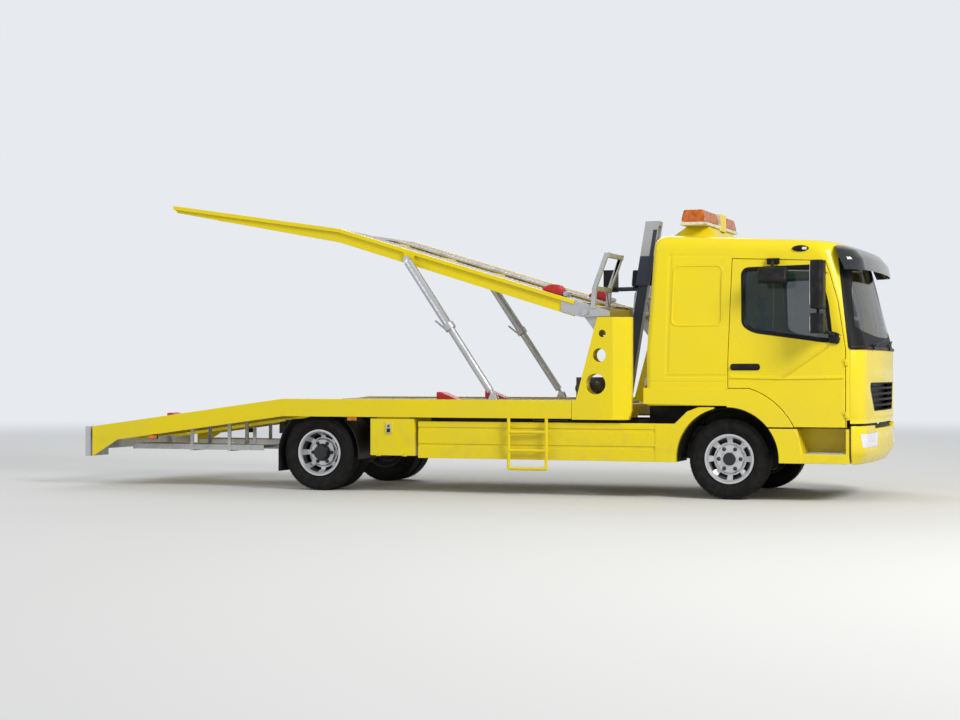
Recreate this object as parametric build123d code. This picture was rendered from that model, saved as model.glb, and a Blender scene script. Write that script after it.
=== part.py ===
from build123d import *
import math
import os

# Two-deck tow truck with a forward-control cab, all sizes in millimetres.
# X points forward, Y to the left and Z up. The ground is Z = 0.

# Running gear
WHEELBASE = 4220
FRONT_AXLE_X = 2760
TYRE_DIAMETER = 767
TYRE_WIDTH = 211
RIM_FLANGE_DIAMETER = 470
RIM_WALL = 8
HUB_DIAMETER = 200
FRONT_TYRE_FACE_Y = 1020
REAR_TYRE_FACE_Y = 1080
DUAL_SPACING = 240
KINGPIN_Y = 760
KINGPIN_DIAMETER = 60

# Chassis frame
RAIL_TOP = 735
RAIL_DEPTH = 180
RAIL_FLANGE = 65
RAIL_WALL = 8
RAIL_FACE_Y = 430
RAIL_FRONT_X = 3880
CAB_PIVOT_X = 3960
CAB_PIVOT_Z = 600
CAB_PIVOT_DIAMETER = 50

# Cab
CAB_FRONT_X = 4090
CAB_REAR_X = 1975
CAB_HALF_WIDTH = 1100
CAB_EAVE_HALF_WIDTH = 1045
CAB_CORNER_RADIUS = 210
CAB_FRONT_BOW = 55
CAB_REAR_CORNER = 60
CAB_WALL = 50
CAB_WAIST_Z = 1411
CAB_EAVE_REAR_Z = 2385
CAB_EAVE_FRONT_Z = 2290
CAB_ROOF_REAR_Z = 2508
CAB_ROOF_FRONT_Z = 2420
CAB_ROOF_ROUND = 105
CAB_ROOF_STEPS = 4
CAB_RAKE = 225
CAB_REAR_LEAN = 60
CAB_SIDE_BOTTOM_Z = 690
CAB_BAND_BOTTOM_Z = 900
CAB_BAND_TOP_Z = 1053
CAB_BAND_PROUD = 14
CAB_FRONT_BOTTOM_Z = 760
CAB_FLOOR_FRONT_Z = 770
CAB_FLOOR_REAR_Z = 930
CAB_FOOTWELL_X = 3255
ARCH_RADIUS = 490
ARCH_FLARE_RADIUS = 700
LINER_RADIUS = 474
LINER_THICKNESS = 6

# Deck geometry
DECK_FACE_Y = 1150
LOWER_DECK_TOP = 931
LOWER_RAIL_DEPTH = 178
LOWER_KNEE_X = -1840
LOWER_REAR_X = -4070
LOWER_REAR_TOP = 628
TAIL_PLATE_X = -3763
TAIL_BOTTOM_Z = 309
LOWER_FRONT_X = 1250
TRACK_INNER_Y = 420
TRACK_OUTER_Y = 1030
PLATE = 6
FLOOR_FOLD = 21
LOWER_FLOOR_BELOW = 18
FLOOR_JOINT_X = -320

UPPER_FACE_Y = 1052
UPPER_FRONT_X = 1242
UPPER_FRONT_TOP = 1902
UPPER_KNEE_X = -1246
UPPER_KNEE_TOP = 2660
UPPER_REAR_X = -3157
UPPER_REAR_TOP = 2950
UPPER_LIP = 40
UPPER_LIP_WIDTH = 70
UPPER_FLOOR_BELOW = 8
UPPER_DEPTH_FRONT = 158
UPPER_DEPTH_KNEE = 140
UPPER_DEPTH_REAR = 68
UPPER_HINGE_X = 1353
UPPER_HINGE_Z = 1785
UPPER_HINGE_PIN = 40

PROP_Y = 1108
PROP_TOP_X = -480
PROP_TOP_Z = 2326
PROP_FOOT_X = 442
PROP_FOOT_Z = 965
PROP_LOWER_DIAMETER = 74
PROP_UPPER_WALL = 7
PROP_COLLAR_FROM_FOOT = 800
PROP_LOWER_TOP = 990
PROP_PIN = 24

TOWER_FOOT_Z = 745
TOWER_TOP_Z = 1730
TOWER_REAR_FOOT_X = 1254
TOWER_REAR_TOP_X = 1508
TOWER_FRONT_FOOT_X = 1796
TOWER_FRONT_TOP_X = 1826
TOWER_DEPTH_Y = 150

# columns: X, Z and radius of each lightening hole
TOWER_HOLES = [(1558, 1573, 35), (1529, 1366, 65), (1491, 1088, 100)]

# Axles, springs and engine
STUB_RADIUS = 38
AXLE_TUBE_RADIUS = 62
HAND_HOLES = 8
WHEEL_BOLTS = 6
BOLT_CIRCLE = 105
HAND_HOLE_CIRCLE = 172
HAND_HOLE_SIZE = 17
HAND_HOLE_SPREAD = 8
HUB_CAP_RADIUS = 62
SPRING_Y = 400
REAR_SPRING_Y = 470
SPRING_WIDTH = 70
FRONT_SPRING_HALF = 620
REAR_SPRING_HALF = 680
ENGINE_SHAFT_Z = 520
ENGINE_FRONT_X = 3230
ENGINE_REAR_X = 2330
GEARBOX_REAR_X = 1700

# Doors, windows and windscreen
DOOR_THICKNESS = 50
DOOR_REAR_X = 2768
DOOR_FRONT_X = 3864
DOOR_TOP_Z = 2270
DOOR_HINGE_RADIUS = 6
DOOR_HINGE_HEIGHT = 60
PILLAR_SEAM_X = 3900
SCREEN_TOP_X = 3790
SCREEN_BOTTOM_Z = 1440
SCREEN_TOP_Z = 2250
CAB_LATCH_X = 2110
SEAT_Y = 540
STEERING_HUB = 40

# Front end
GRILLE_BARS = 5
GRILLE_TOP_Z = 1105
GRILLE_BOTTOM_Z = 838
GRILLE_TOP_HALF = 830
GRILLE_BOTTOM_HALF = 640
BUMPER_TOP = 705
BUMPER_BOTTOM = 350
BUMPER_REAR_X = 3912
BUMPER_PROUD = 8
BUMPER_WALL = 58
BUMPER_CHIN = 110
BUMPER_TUCK = 70
AIR_SLOT_DEPTH = 30
AIR_SLOT_HALF = 640
LAMP_DEPTH = 150
VISOR_WALL = 6
VISOR_END_TOP_X = 3750
VISOR_END_LOW_X = 3850
MIRROR_Y = 1285
MIRROR_REAR_X = 3585
MIRROR_FRONT_X = 3705
MIRROR_HALF = 105
BEACON_X = 2345
BEACON_HALF = 710
BEACON_BASE_Z = 2625
STEP_TOP_Z = 676
STEP_SILL_Z = 356

# Side equipment
SKIRT_TOP = 714
SKIRT_BOTTOM = 350
SKIRT_FACE_Y = 1110
SKIRT_REAR_X = -357
TOOLBOX_REAR_X = -863
TOOLBOX_FRONT_X = -390
TOOLBOX_TOP = 739
TOOLBOX_BOTTOM = 369
TOOLBOX_WALL = 12
TOOLBOX_DOOR = 18
TOOLBOX_HINGE_RADIUS = 8
LADDER_REAR_X = 614
LADDER_FRONT_X = 1000
LADDER_BOTTOM_Z = 262
MUDGUARD_RADIUS = 440

# Lower deck carriers, winch, tail and ramps
LOWER_BEAM_Y = 400
LOWER_CROSS = [1130, 560, -40, -640, -1240, -1790, -2170, -2560, -3000, -3450, -3900]
RAMP_HOLDERS = [-2560, -3000]
RAMP_Y = 720
RAMP_Z = 440
WINCH_X = 1130
LIGHT_BAR_BEHIND = 100
JAW_REACH = 100
COUPLING_BORE = 40

# Lift mast
MAST_LEAN_X = 1590
MAST_LEAN_Z = 1603
MAST_TOP_X = 1775
MAST_TOP_Z = 2727
MAST_HEAD_Z = 2230
MAST_HALF = 55
MAST_BAR_Z = 2050

# Upper deck carriers and wheel stops
UPPER_CROSS = [1060, 560, 0, -560, -1100, -1560, -2080, -2600]
UPPER_BEAM_INSET = 28
HINGE_PLATE = 14
STOP_FRONT_X = 1600
STOP_BASE_X = 1434
STOP_KNEE = (1450, 2014)
STOP_TOP = (1576, 2355)
STOP_BAR = 22
STOP_INNER_Y = 520

# Clearances
GAP = 6
PIN_CLEARANCE = 0.1
SLIDE_CLEARANCE = 0.3
SEAT_GAP = 0.3

AXLE_Z = TYRE_DIAMETER / 2
DOOR_SILL_Z = CAB_BAND_TOP_Z - 3
# The door's lower rear edge follows the flare of the wheel arch, from the sill down to the step.
ARCH_SEAM_HIGH = math.asin((DOOR_SILL_Z - AXLE_Z) / ARCH_FLARE_RADIUS)
ARCH_SEAM_LOW = math.asin((CAB_SIDE_BOTTOM_Z - AXLE_Z) / ARCH_FLARE_RADIUS)
ARCH_SEAM_STEPS = 7
ARCH_SEAM = [
    (FRONT_AXLE_X + ARCH_FLARE_RADIUS * math.cos(ARCH_SEAM_HIGH + (ARCH_SEAM_LOW - ARCH_SEAM_HIGH) * k / ARCH_SEAM_STEPS),
     AXLE_Z + ARCH_FLARE_RADIUS * math.sin(ARCH_SEAM_HIGH + (ARCH_SEAM_LOW - ARCH_SEAM_HIGH) * k / ARCH_SEAM_STEPS))
    for k in range(ARCH_SEAM_STEPS + 1)
]
# columns: X, Z of the door outline, from the top rear corner round to the front
DOOR_OUTLINE = [
    (DOOR_REAR_X + 32, DOOR_TOP_Z), (DOOR_REAR_X, 1300), (DOOR_REAR_X, DOOR_SILL_Z),
] + ARCH_SEAM + [
    (DOOR_FRONT_X, CAB_SIDE_BOTTOM_Z), (DOOR_FRONT_X, CAB_WAIST_Z), (3790, 1856), (3710, 2126), (3672, DOOR_TOP_Z - 35),
]
# columns: X, Z of the side window outline
WINDOW_OUTLINE = [(2892, 2178), (2903, 1640), (3010, 1575), (3745, 1472), (3700, 1850), (3600, 2195)]
# columns: X, Z of the pressed panel behind the door
BLANK_OUTLINE = [(2230, 1653), (2700, 1653), (2700, 2200), (2250, 2205)]
BLANK_RADIUS = 50
BLANK_BEAD = 16
BLANK_BEAD_PROUD = 4
# columns: Y, Z of one headlight's outline
LAMP_OUTLINE = [(560, 642), (985, 632), (955, 508), (610, 512)]
# columns: height, distance behind the cab's nose, width beyond the eaves of each ring of the visor
VISOR_RINGS = [(2150, 15, 15), (2260, 40, 13), (2340, 105, 0), (2380, 200, -35)]

REAR_AXLE_X = FRONT_AXLE_X - WHEELBASE
FRONT_TYRE_Y = FRONT_TYRE_FACE_Y - TYRE_WIDTH / 2
REAR_OUTER_Y = REAR_TYRE_FACE_Y - TYRE_WIDTH / 2
REAR_INNER_Y = REAR_OUTER_Y - DUAL_SPACING
RAIL_BOTTOM = RAIL_TOP - RAIL_DEPTH
REAR_TUBE_END = REAR_TYRE_FACE_Y - 230
CAB_LATCH_Z = CAB_BAND_BOTTOM_Z - 20
FRONT_SPRING_SEAT = AXLE_Z + 24
REAR_SPRING_SEAT = AXLE_Z + 126
PROP_UPPER_BORE = PROP_LOWER_DIAMETER + 2 * SLIDE_CLEARANCE
PROP_UPPER_DIAMETER = PROP_UPPER_BORE + 2 * PROP_UPPER_WALL
STOP_PLATE_Y = UPPER_FACE_Y - UPPER_BEAM_INSET + SEAT_GAP
LOWER_RAIL_BOTTOM = LOWER_DECK_TOP - LOWER_RAIL_DEPTH
LOWER_SLOPE = math.degrees(math.atan((LOWER_DECK_TOP - LOWER_REAR_TOP) / (LOWER_KNEE_X - LOWER_REAR_X)))
# columns: X, slope, length and height of each chock
CHOCKS = [(-150, 0, 260, 90), (-3260, -LOWER_SLOPE, 200, 60)]
RIGHT = -1
LEFT = 1
# The finished truck is moved by this much, so that X = 0 is the middle of its length.
BOX_SHIFT = -(CAB_FRONT_X + BUMPER_PROUD + LOWER_REAR_X - LIGHT_BAR_BEHIND - JAW_REACH) / 2


def save(node, *solids):
    """Write one node, from solids or lists of solids, to its own STEP file."""
    flat = []
    for item in solids:
        flat.extend(item if isinstance(item, (list, tuple)) else [item])
    bodies = []
    for item in flat:
        bodies.extend(item.solids())
    bodies = [Pos(BOX_SHIFT, 0, 0) * body for body in bodies]
    shape = bodies[0] if len(bodies) == 1 else Compound(children=bodies)
    export_step(shape, "parts/" + node + ".step")


def block(x0, x1, y0, y1, z0, z1):
    """A box given by its limits along X, Y and Z."""
    size = Box(abs(x1 - x0), abs(y1 - y0), abs(z1 - z0))
    return Pos((x0 + x1) / 2, (y0 + y1) / 2, (z0 + z1) / 2) * size


def outline(points, place, radius=0):
    """A flat face from 2-D points, placed in space and rounded at every corner."""
    face = Face(Wire.make_polygon([place(u, v) for u, v in points], close=True))
    return face.fillet_2d(radius, face.vertices()) if radius else face


def side_plate(points, y0, y1, radius=0):
    """An outline in X and Z, thickened from y0 to y1."""
    face = outline(points, lambda x, z: (x, y0, z), radius)
    return extrude(face, amount=abs(y1 - y0), dir=(0, 1 if y1 > y0 else -1, 0))


def plan_plate(points, z0, z1, radius=0):
    """An outline in X and Y, thickened from z0 up to z1."""
    face = outline(points, lambda x, y: (x, y, z0), radius)
    return extrude(face, amount=z1 - z0, dir=(0, 0, 1))


def front_plate(points, x0, x1, radius=0):
    """An outline in Y and Z, thickened from x0 forward to x1."""
    face = outline(points, lambda y, z: (x0, y, z), radius)
    return extrude(face, amount=x1 - x0, dir=(1, 0, 0))


def rod_y(x, z, y0, y1, radius):
    """A round bar across the truck."""
    middle = (y0 + y1) / 2
    return Pos(x, middle, z) * Rot(90, 0, 0) * Cylinder(radius, abs(y1 - y0))


def rod_x(y, z, x0, x1, radius):
    """A round bar along the truck."""
    return Pos((x0 + x1) / 2, y, z) * Rot(0, 90, 0) * Cylinder(radius, abs(x1 - x0))


def rod(start, end, radius):
    """A round bar between two points."""
    a = Vector(*start)
    b = Vector(*end)
    return Solid.make_cylinder(radius, (b - a).length, Plane(origin=a, z_dir=b - a))


def ring(start, end, outer, bore):
    """A tube between two points, open at both ends."""
    return rod(start, end, outer) - rod(start, end, bore)


def sided(solid, side):
    """A solid modelled on the right, kept there or mirrored to the left."""
    return solid if side == RIGHT else mirror(solid, about=Plane.XZ)


# Wheels: steel discs on radial tyres, single in front and twin behind


def tyre(y_face, outboard):
    """A tyre whose outer face lies at y_face; outboard is +1 or -1 along Y."""
    half = TYRE_WIDTH / 2
    crown = TYRE_DIAMETER / 2
    bead = RIM_FLANGE_DIAMETER / 2 - 13
    # columns: distance from the middle plane, radius
    section = [
        (-half + 28, bead), (-half + 27, bead + 17), (-half + 7, bead + 42), (-half, crown - 70), (-half + 14, crown - 16),
        (-half + 34, crown - 3), (0, crown), (half - 34, crown - 3), (half - 14, crown - 16),
        (half, crown - 70), (half - 7, bead + 42), (half - 27, bead + 17), (half - 28, bead),
    ]
    middle = y_face - outboard * half
    face = Face(Wire.make_polygon([(0, middle + t, r) for t, r in section], close=True))
    return revolve(face, axis=Axis((0, 0, 0), (0, 1, 0)))


def rim_section(y_face, outboard, dish, bolt_circle):
    """A steel rim and disc; dish is how far the disc lies inside the tyre's outer face."""
    half = TYRE_WIDTH / 2
    flange = RIM_FLANGE_DIAMETER / 2
    inner = flange - 26
    # columns: depth inboard of the tyre's outer face, radius
    profile = [
        (14, flange), (14, flange - 18), (40, inner - RIM_WALL), (dish, inner - 36),
        (dish + 6, bolt_circle + 38), (dish - 22, bolt_circle + 24), (dish - 22, HUB_CAP_RADIUS - 2),
        (dish - 10, HUB_CAP_RADIUS - 2), (dish - 10, bolt_circle + 20), (dish + 18, bolt_circle + 40),
        (dish + 14, inner - 14), (TYRE_WIDTH - 40, inner - RIM_WALL), (TYRE_WIDTH - 14, flange - 18),
        (TYRE_WIDTH - 14, flange), (TYRE_WIDTH - 24, flange), (TYRE_WIDTH - 26, flange - 13 - SEAT_GAP),
        (TYRE_WIDTH - 56, flange - 13 - SEAT_GAP), (half, inner), (56, flange - 13 - SEAT_GAP),
        (26, flange - 13 - SEAT_GAP), (24, flange),
    ]
    points = [(0, y_face - outboard * depth, radius) for depth, radius in profile]
    return revolve(Face(Wire.make_polygon(points, close=True)), axis=Axis((0, 0, 0), (0, 1, 0)))


def slotted(disc, y0, y1):
    """A disc with a ring of hand slots through it, each three overlapping holes long."""
    for k in range(HAND_HOLES):
        for spread in (-HAND_HOLE_SPREAD, 0, HAND_HOLE_SPREAD):
            angle = math.radians(360 * (k + 0.5) / HAND_HOLES + spread)
            x = HAND_HOLE_CIRCLE * math.cos(angle)
            z = HAND_HOLE_CIRCLE * math.sin(angle)
            disc = disc - rod_y(x, z, y0, y1, HAND_HOLE_SIZE)
    return disc


def at_axle(shape, x):
    """Move a wheel piece, modelled round the Y axis, to its axle."""
    return Pos(x, 0, AXLE_Z) * shape


def front_wheel(side):
    face = side * FRONT_TYRE_FACE_Y
    dish = 62
    rim = rim_section(face, side, dish, BOLT_CIRCLE)
    rim = slotted(rim, face - side * (dish - 20), face - side * (dish + 50))
    cap = rod_y(0, 0, face - side * (dish - 46), face - side * (dish + 9), HUB_CAP_RADIUS)
    cap = cap.fillet(12, cap.edges().filter_by(GeomType.CIRCLE).sort_by(Axis.Y)[-1 if side > 0 else 0:][:1])
    hub = rod_y(0, 0, face - side * (dish + 9), face - side * (TYRE_WIDTH - 19), HUB_DIAMETER / 2 - 12)
    hub = hub - rod_y(0, 0, face - side * (TYRE_WIDTH - 90), face - side * TYRE_WIDTH, STUB_RADIUS + PIN_CLEARANCE)
    bolts = []
    for k in range(WHEEL_BOLTS):
        angle = 2 * math.pi * k / WHEEL_BOLTS
        x = BOLT_CIRCLE * math.cos(angle)
        z = BOLT_CIRCLE * math.sin(angle)
        bolts.append(rod_y(x, z, face - side * (dish - 36), face - side * (dish - 20), 13))
    wheel = rim + hub + cap
    for bolt in bolts:
        wheel = wheel + bolt
    return at_axle(wheel, FRONT_AXLE_X), at_axle(tyre(face, side), FRONT_AXLE_X)


def rear_wheel(side):
    outer_face = side * REAR_TYRE_FACE_Y
    inner_face = outer_face - side * DUAL_SPACING
    dish = 118
    outer = rim_section(outer_face, side, dish, BOLT_CIRCLE)
    outer = slotted(outer, outer_face - side * (dish - 30), outer_face - side * (dish + 50))
    inner_middle = inner_face - side * TYRE_WIDTH
    inner = rim_section(inner_middle, -side, 90, BOLT_CIRCLE)
    hub = rod_y(0, 0, outer_face - side * (dish - 84), outer_face - side * (dish + 110), HUB_CAP_RADIUS + 8)
    drum_from = outer_face - side * (dish - 11)
    drum_to = inner_face - side * (TYRE_WIDTH - 80)
    drum = rod_y(0, 0, drum_from, drum_to, BOLT_CIRCLE + 12)
    bore = rod_y(0, 0, drum_to - side * 60, side * (REAR_TUBE_END + 6), AXLE_TUBE_RADIUS + PIN_CLEARANCE)
    wheel = (outer + inner + hub + drum) - bore
    tyres = [at_axle(tyre(outer_face, side), REAR_AXLE_X), at_axle(tyre(inner_face, side), REAR_AXLE_X)]
    return at_axle(wheel, REAR_AXLE_X), tyres


# Front axle, knuckles and rear axle


def front_axle_beam():
    """A dropped I-beam with a fork end at each kingpin."""
    middle_z = AXLE_Z - 75
    fork_y = KINGPIN_Y
    beam = block(FRONT_AXLE_X - 45, FRONT_AXLE_X + 45, -520, 520, middle_z - 45, middle_z + 45)
    for y in (-1, 1):
        side = front_plate(
            [(y * 500, middle_z - 45), (y * 500, middle_z + 45), (y * 640, AXLE_Z + 28),
             (y * fork_y, AXLE_Z + 28), (y * fork_y, AXLE_Z - 28), (y * 660, AXLE_Z - 28)],
            FRONT_AXLE_X - 30, FRONT_AXLE_X + 30)
        eye = rod((FRONT_AXLE_X, y * fork_y, AXLE_Z - 28), (FRONT_AXLE_X, y * fork_y, AXLE_Z + 28), 36)
        beam = beam + side + eye
        pad = block(FRONT_AXLE_X - 70, FRONT_AXLE_X + 70, y * 355, y * 445, middle_z + 45, middle_z + 75)
        beam = beam + pad
        beam = beam - rod((FRONT_AXLE_X, y * fork_y, AXLE_Z - 60), (FRONT_AXLE_X, y * fork_y, AXLE_Z + 60),
                          KINGPIN_DIAMETER / 2 + PIN_CLEARANCE)
    groove_top = block(FRONT_AXLE_X + 20, FRONT_AXLE_X + 60, -500, 500, middle_z - 25, middle_z + 25)
    groove_rear = block(FRONT_AXLE_X - 60, FRONT_AXLE_X - 20, -500, 500, middle_z - 25, middle_z + 25)
    return beam - groove_top - groove_rear


def knuckle(side):
    """A steering knuckle: fork, kingpin and the stub that carries the hub."""
    y = side * KINGPIN_Y
    x = FRONT_AXLE_X
    pin = rod((x, y, AXLE_Z - 85), (x, y, AXLE_Z + 85), KINGPIN_DIAMETER / 2)
    top = block(x - 42, x + 42, y - side * 34, y + side * 62, AXLE_Z + 34, AXLE_Z + 78)
    bottom = block(x - 42, x + 42, y - side * 34, y + side * 62, AXLE_Z - 78, AXLE_Z - 34)
    web = block(x - 42, x + 42, y + side * 38, y + side * 62, AXLE_Z - 78, AXLE_Z + 78)
    stub = rod_y(x, AXLE_Z, y + side * 50, side * (FRONT_TYRE_FACE_Y - TYRE_WIDTH + 88), STUB_RADIUS)
    arm = block(x - 200, x - 30, y - side * 34, y - side * 4, AXLE_Z - 74, AXLE_Z - 50)
    return top + bottom + web + stub + pin + arm


def rear_axle():
    """Axle tube, differential, propshaft and the two stub tubes inside the hubs."""
    tube = rod_y(REAR_AXLE_X, AXLE_Z, -REAR_TUBE_END, REAR_TUBE_END, AXLE_TUBE_RADIUS)
    bowl = Pos(REAR_AXLE_X, 60, AXLE_Z) * Sphere(165)
    bowl = bowl & block(REAR_AXLE_X - 150, REAR_AXLE_X + 200, -90, 210, AXLE_Z - 160, AXLE_Z + 160)
    nose = rod((REAR_AXLE_X + 120, 60, AXLE_Z), (REAR_AXLE_X + 300, 60, AXLE_Z + 12), 70)
    shaft = rod((REAR_AXLE_X + 290, 60, AXLE_Z + 12), (GEARBOX_REAR_X - 6, 60, ENGINE_SHAFT_Z), 42)
    pads = []
    for y in (-1, 1):
        pads.append(block(REAR_AXLE_X - 60, REAR_AXLE_X + 60, y * 432, y * 508, AXLE_Z + 40, AXLE_Z + 78))
    axle = tube + bowl + nose + shaft
    for pad in pads:
        axle = axle + pad
    return axle


def leaf_pack(x, y, z, half_length, leaves, thickness):
    """One arched pack: a stack of shorter and shorter straight-ended leaves."""
    arch = 70
    rise = [
        (x - half_length, z + arch), (x - half_length * 0.5, z + 14), (x, z), (x + half_length * 0.5, z + 14),
        (x + half_length, z + arch), (x + half_length, z + arch + thickness),
        (x + half_length * 0.5, z + 14 + thickness), (x, z + thickness),
        (x - half_length * 0.5, z + 14 + thickness), (x - half_length, z + arch + thickness),
    ]
    pack = side_plate(rise, y - SPRING_WIDTH / 2, y + SPRING_WIDTH / 2)
    for k in range(1, leaves):
        reach = half_length * 0.5 * (1 - k / (leaves + 1))
        drop = 14 * (1 - k / (leaves + 1))
        leaf = side_plate(
            [(x - reach, z + drop - thickness * k), (x, z - thickness * k), (x + reach, z + drop - thickness * k),
             (x + reach, z + drop - thickness * (k - 1)), (x, z - thickness * (k - 1)),
             (x - reach, z + drop - thickness * (k - 1))],
            y - SPRING_WIDTH / 2, y + SPRING_WIDTH / 2)
        pack = pack + leaf
    for end in (-1, 1):
        eye_z = z + arch + thickness / 2
        pack = pack + rod_y(x + end * half_length, eye_z, y - SPRING_WIDTH / 2, y + SPRING_WIDTH / 2, 26)
    return pack


def springs():
    packs = []
    for y in (-1, 1):
        packs.append(leaf_pack(FRONT_AXLE_X, y * SPRING_Y, FRONT_SPRING_SEAT, FRONT_SPRING_HALF, 3, 12))
        packs.append(leaf_pack(REAR_AXLE_X, y * REAR_SPRING_Y, REAR_SPRING_SEAT, REAR_SPRING_HALF, 5, 12))
    return packs


def engine():
    """Engine as one plain block with its gearbox behind it."""
    body = block(ENGINE_REAR_X, ENGINE_FRONT_X, -290, 290, 470, 840)
    mount_y = RAIL_FACE_Y - RAIL_WALL - SEAT_GAP
    for x in (ENGINE_REAR_X + 200, ENGINE_FRONT_X - 200):
        body = body + block(x - 40, x + 40, -mount_y, mount_y, 600, 640)
    bell = rod_x(60, ENGINE_SHAFT_Z + 70, ENGINE_REAR_X - 180, ENGINE_REAR_X, 200)
    case = rod_x(60, ENGINE_SHAFT_Z + 30, GEARBOX_REAR_X, ENGINE_REAR_X - 180, 150)
    return body + bell + case


def chassis_frame():
    """Two channel rails with cross members, spring hangers, cab pivot and cab latch bridge."""
    rear_x = REAR_AXLE_X - 760
    taper_x = LOWER_KNEE_X + 40
    slope = math.tan(math.radians(LOWER_SLOPE))
    rail = front_plate(
        [(RAIL_FACE_Y, RAIL_BOTTOM), (RAIL_FACE_Y, RAIL_TOP), (RAIL_FACE_Y - RAIL_FLANGE, RAIL_TOP),
         (RAIL_FACE_Y - RAIL_FLANGE, RAIL_TOP - RAIL_WALL), (RAIL_FACE_Y - RAIL_WALL, RAIL_TOP - RAIL_WALL),
         (RAIL_FACE_Y - RAIL_WALL, RAIL_BOTTOM + RAIL_WALL), (RAIL_FACE_Y - RAIL_FLANGE, RAIL_BOTTOM + RAIL_WALL),
         (RAIL_FACE_Y - RAIL_FLANGE, RAIL_BOTTOM)],
        rear_x, RAIL_FRONT_X)
    cut = side_plate(
        [(taper_x, RAIL_TOP + 1), (rear_x - 10, RAIL_TOP + 1),
         (rear_x - 10, RAIL_TOP - (taper_x - rear_x + 10) * (slope + 0.01))],
        RAIL_FACE_Y - RAIL_FLANGE - 1, RAIL_FACE_Y + 1)
    rail = rail - cut
    frame = rail + mirror(rail, about=Plane.XZ)
    inner_y = RAIL_FACE_Y - RAIL_WALL
    # column: X of each cross member
    for x in (3720, 1500, 700, -150, -900, -2120):
        frame = frame + block(x - 30, x + 30, -inner_y, inner_y, RAIL_BOTTOM + 40, RAIL_TOP - 40)
    pivot = rod_y(CAB_PIVOT_X, CAB_PIVOT_Z, -RAIL_FACE_Y, RAIL_FACE_Y, CAB_PIVOT_DIAMETER / 2)
    frame = frame + pivot
    for y in (-1, 1):
        horn = side_plate(
            [(RAIL_FRONT_X - 120, RAIL_BOTTOM + 4), (CAB_PIVOT_X + 20, CAB_PIVOT_Z - 38),
             (CAB_PIVOT_X + 36, CAB_PIVOT_Z), (CAB_PIVOT_X + 20, CAB_PIVOT_Z + 38), (RAIL_FRONT_X - 120, RAIL_TOP - 20)],
            y * (RAIL_FACE_Y - RAIL_WALL), y * (RAIL_FACE_Y + 12))
        frame = frame + horn
        for x, spring_y in ((FRONT_AXLE_X, SPRING_Y), (REAR_AXLE_X, REAR_SPRING_Y)):
            reach = FRONT_SPRING_HALF if x == FRONT_AXLE_X else REAR_SPRING_HALF
            eye_z = (FRONT_SPRING_SEAT if x == FRONT_AXLE_X else REAR_SPRING_SEAT) + 76
            out = spring_y + SPRING_WIDTH / 2
            for end in (-1, 1):
                ex = x + end * reach
                hanger = block(ex - 40, ex + 40, y * (out + SEAT_GAP), y * (out + 13), eye_z - 30, RAIL_BOTTOM + 90)
                bridge = block(ex - 40, ex + 40, y * (RAIL_FACE_Y - 20), y * (out + 13), RAIL_BOTTOM + 62, RAIL_BOTTOM + 92)
                frame = frame + hanger + bridge
    legs = []
    for y in (-1, 1):
        legs.append(block(CAB_LATCH_X - 30, CAB_LATCH_X + 30, y * 330, y * RAIL_FACE_Y, RAIL_TOP - 5, CAB_LATCH_Z))
    bridge = block(CAB_LATCH_X - 30, CAB_LATCH_X + 30, -RAIL_FACE_Y, RAIL_FACE_Y, CAB_LATCH_Z - 50, CAB_LATCH_Z)
    return frame + legs[0] + legs[1] + bridge


# Cab: a pressed shell bowed in plan, raked above the waist, with a crowned roof


def cab_outline(z_rear, z_front, front_x, rear_x, half):
    """A closed plan section: flat sides, round corners and a bowed front, level or sloping."""
    corner_x = front_x - CAB_FRONT_BOW - CAB_CORNER_RADIUS
    nose_x = front_x - CAB_FRONT_BOW
    flat = half - CAB_CORNER_RADIUS
    turn = CAB_CORNER_RADIUS * math.sqrt(0.5)
    back = CAB_REAR_CORNER
    back_turn = back * (1 - math.sqrt(0.5))

    def at(x, y):
        share = (x - rear_x) / (front_x - rear_x)
        return (x, y, z_rear + (z_front - z_rear) * share)

    mid_x = corner_x + turn
    mid_y = flat + turn
    edges = [
        Line(at(rear_x, -half + back), at(rear_x, half - back)),
        ThreePointArc(at(rear_x, half - back), at(rear_x + back_turn, half - back_turn), at(rear_x + back, half)),
        Line(at(rear_x + back, half), at(corner_x, half)),
        ThreePointArc(at(corner_x, half), at(mid_x, mid_y), at(nose_x, flat)),
        ThreePointArc(at(nose_x, flat), at(front_x, 0), at(nose_x, -flat)),
        ThreePointArc(at(nose_x, -flat), at(mid_x, -mid_y), at(corner_x, -half)),
        Line(at(corner_x, -half), at(rear_x + back, -half)),
        ThreePointArc(at(rear_x + back, -half), at(rear_x + back_turn, -half + back_turn), at(rear_x, -half + back)),
    ]
    return Face(Wire(edges))


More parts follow.
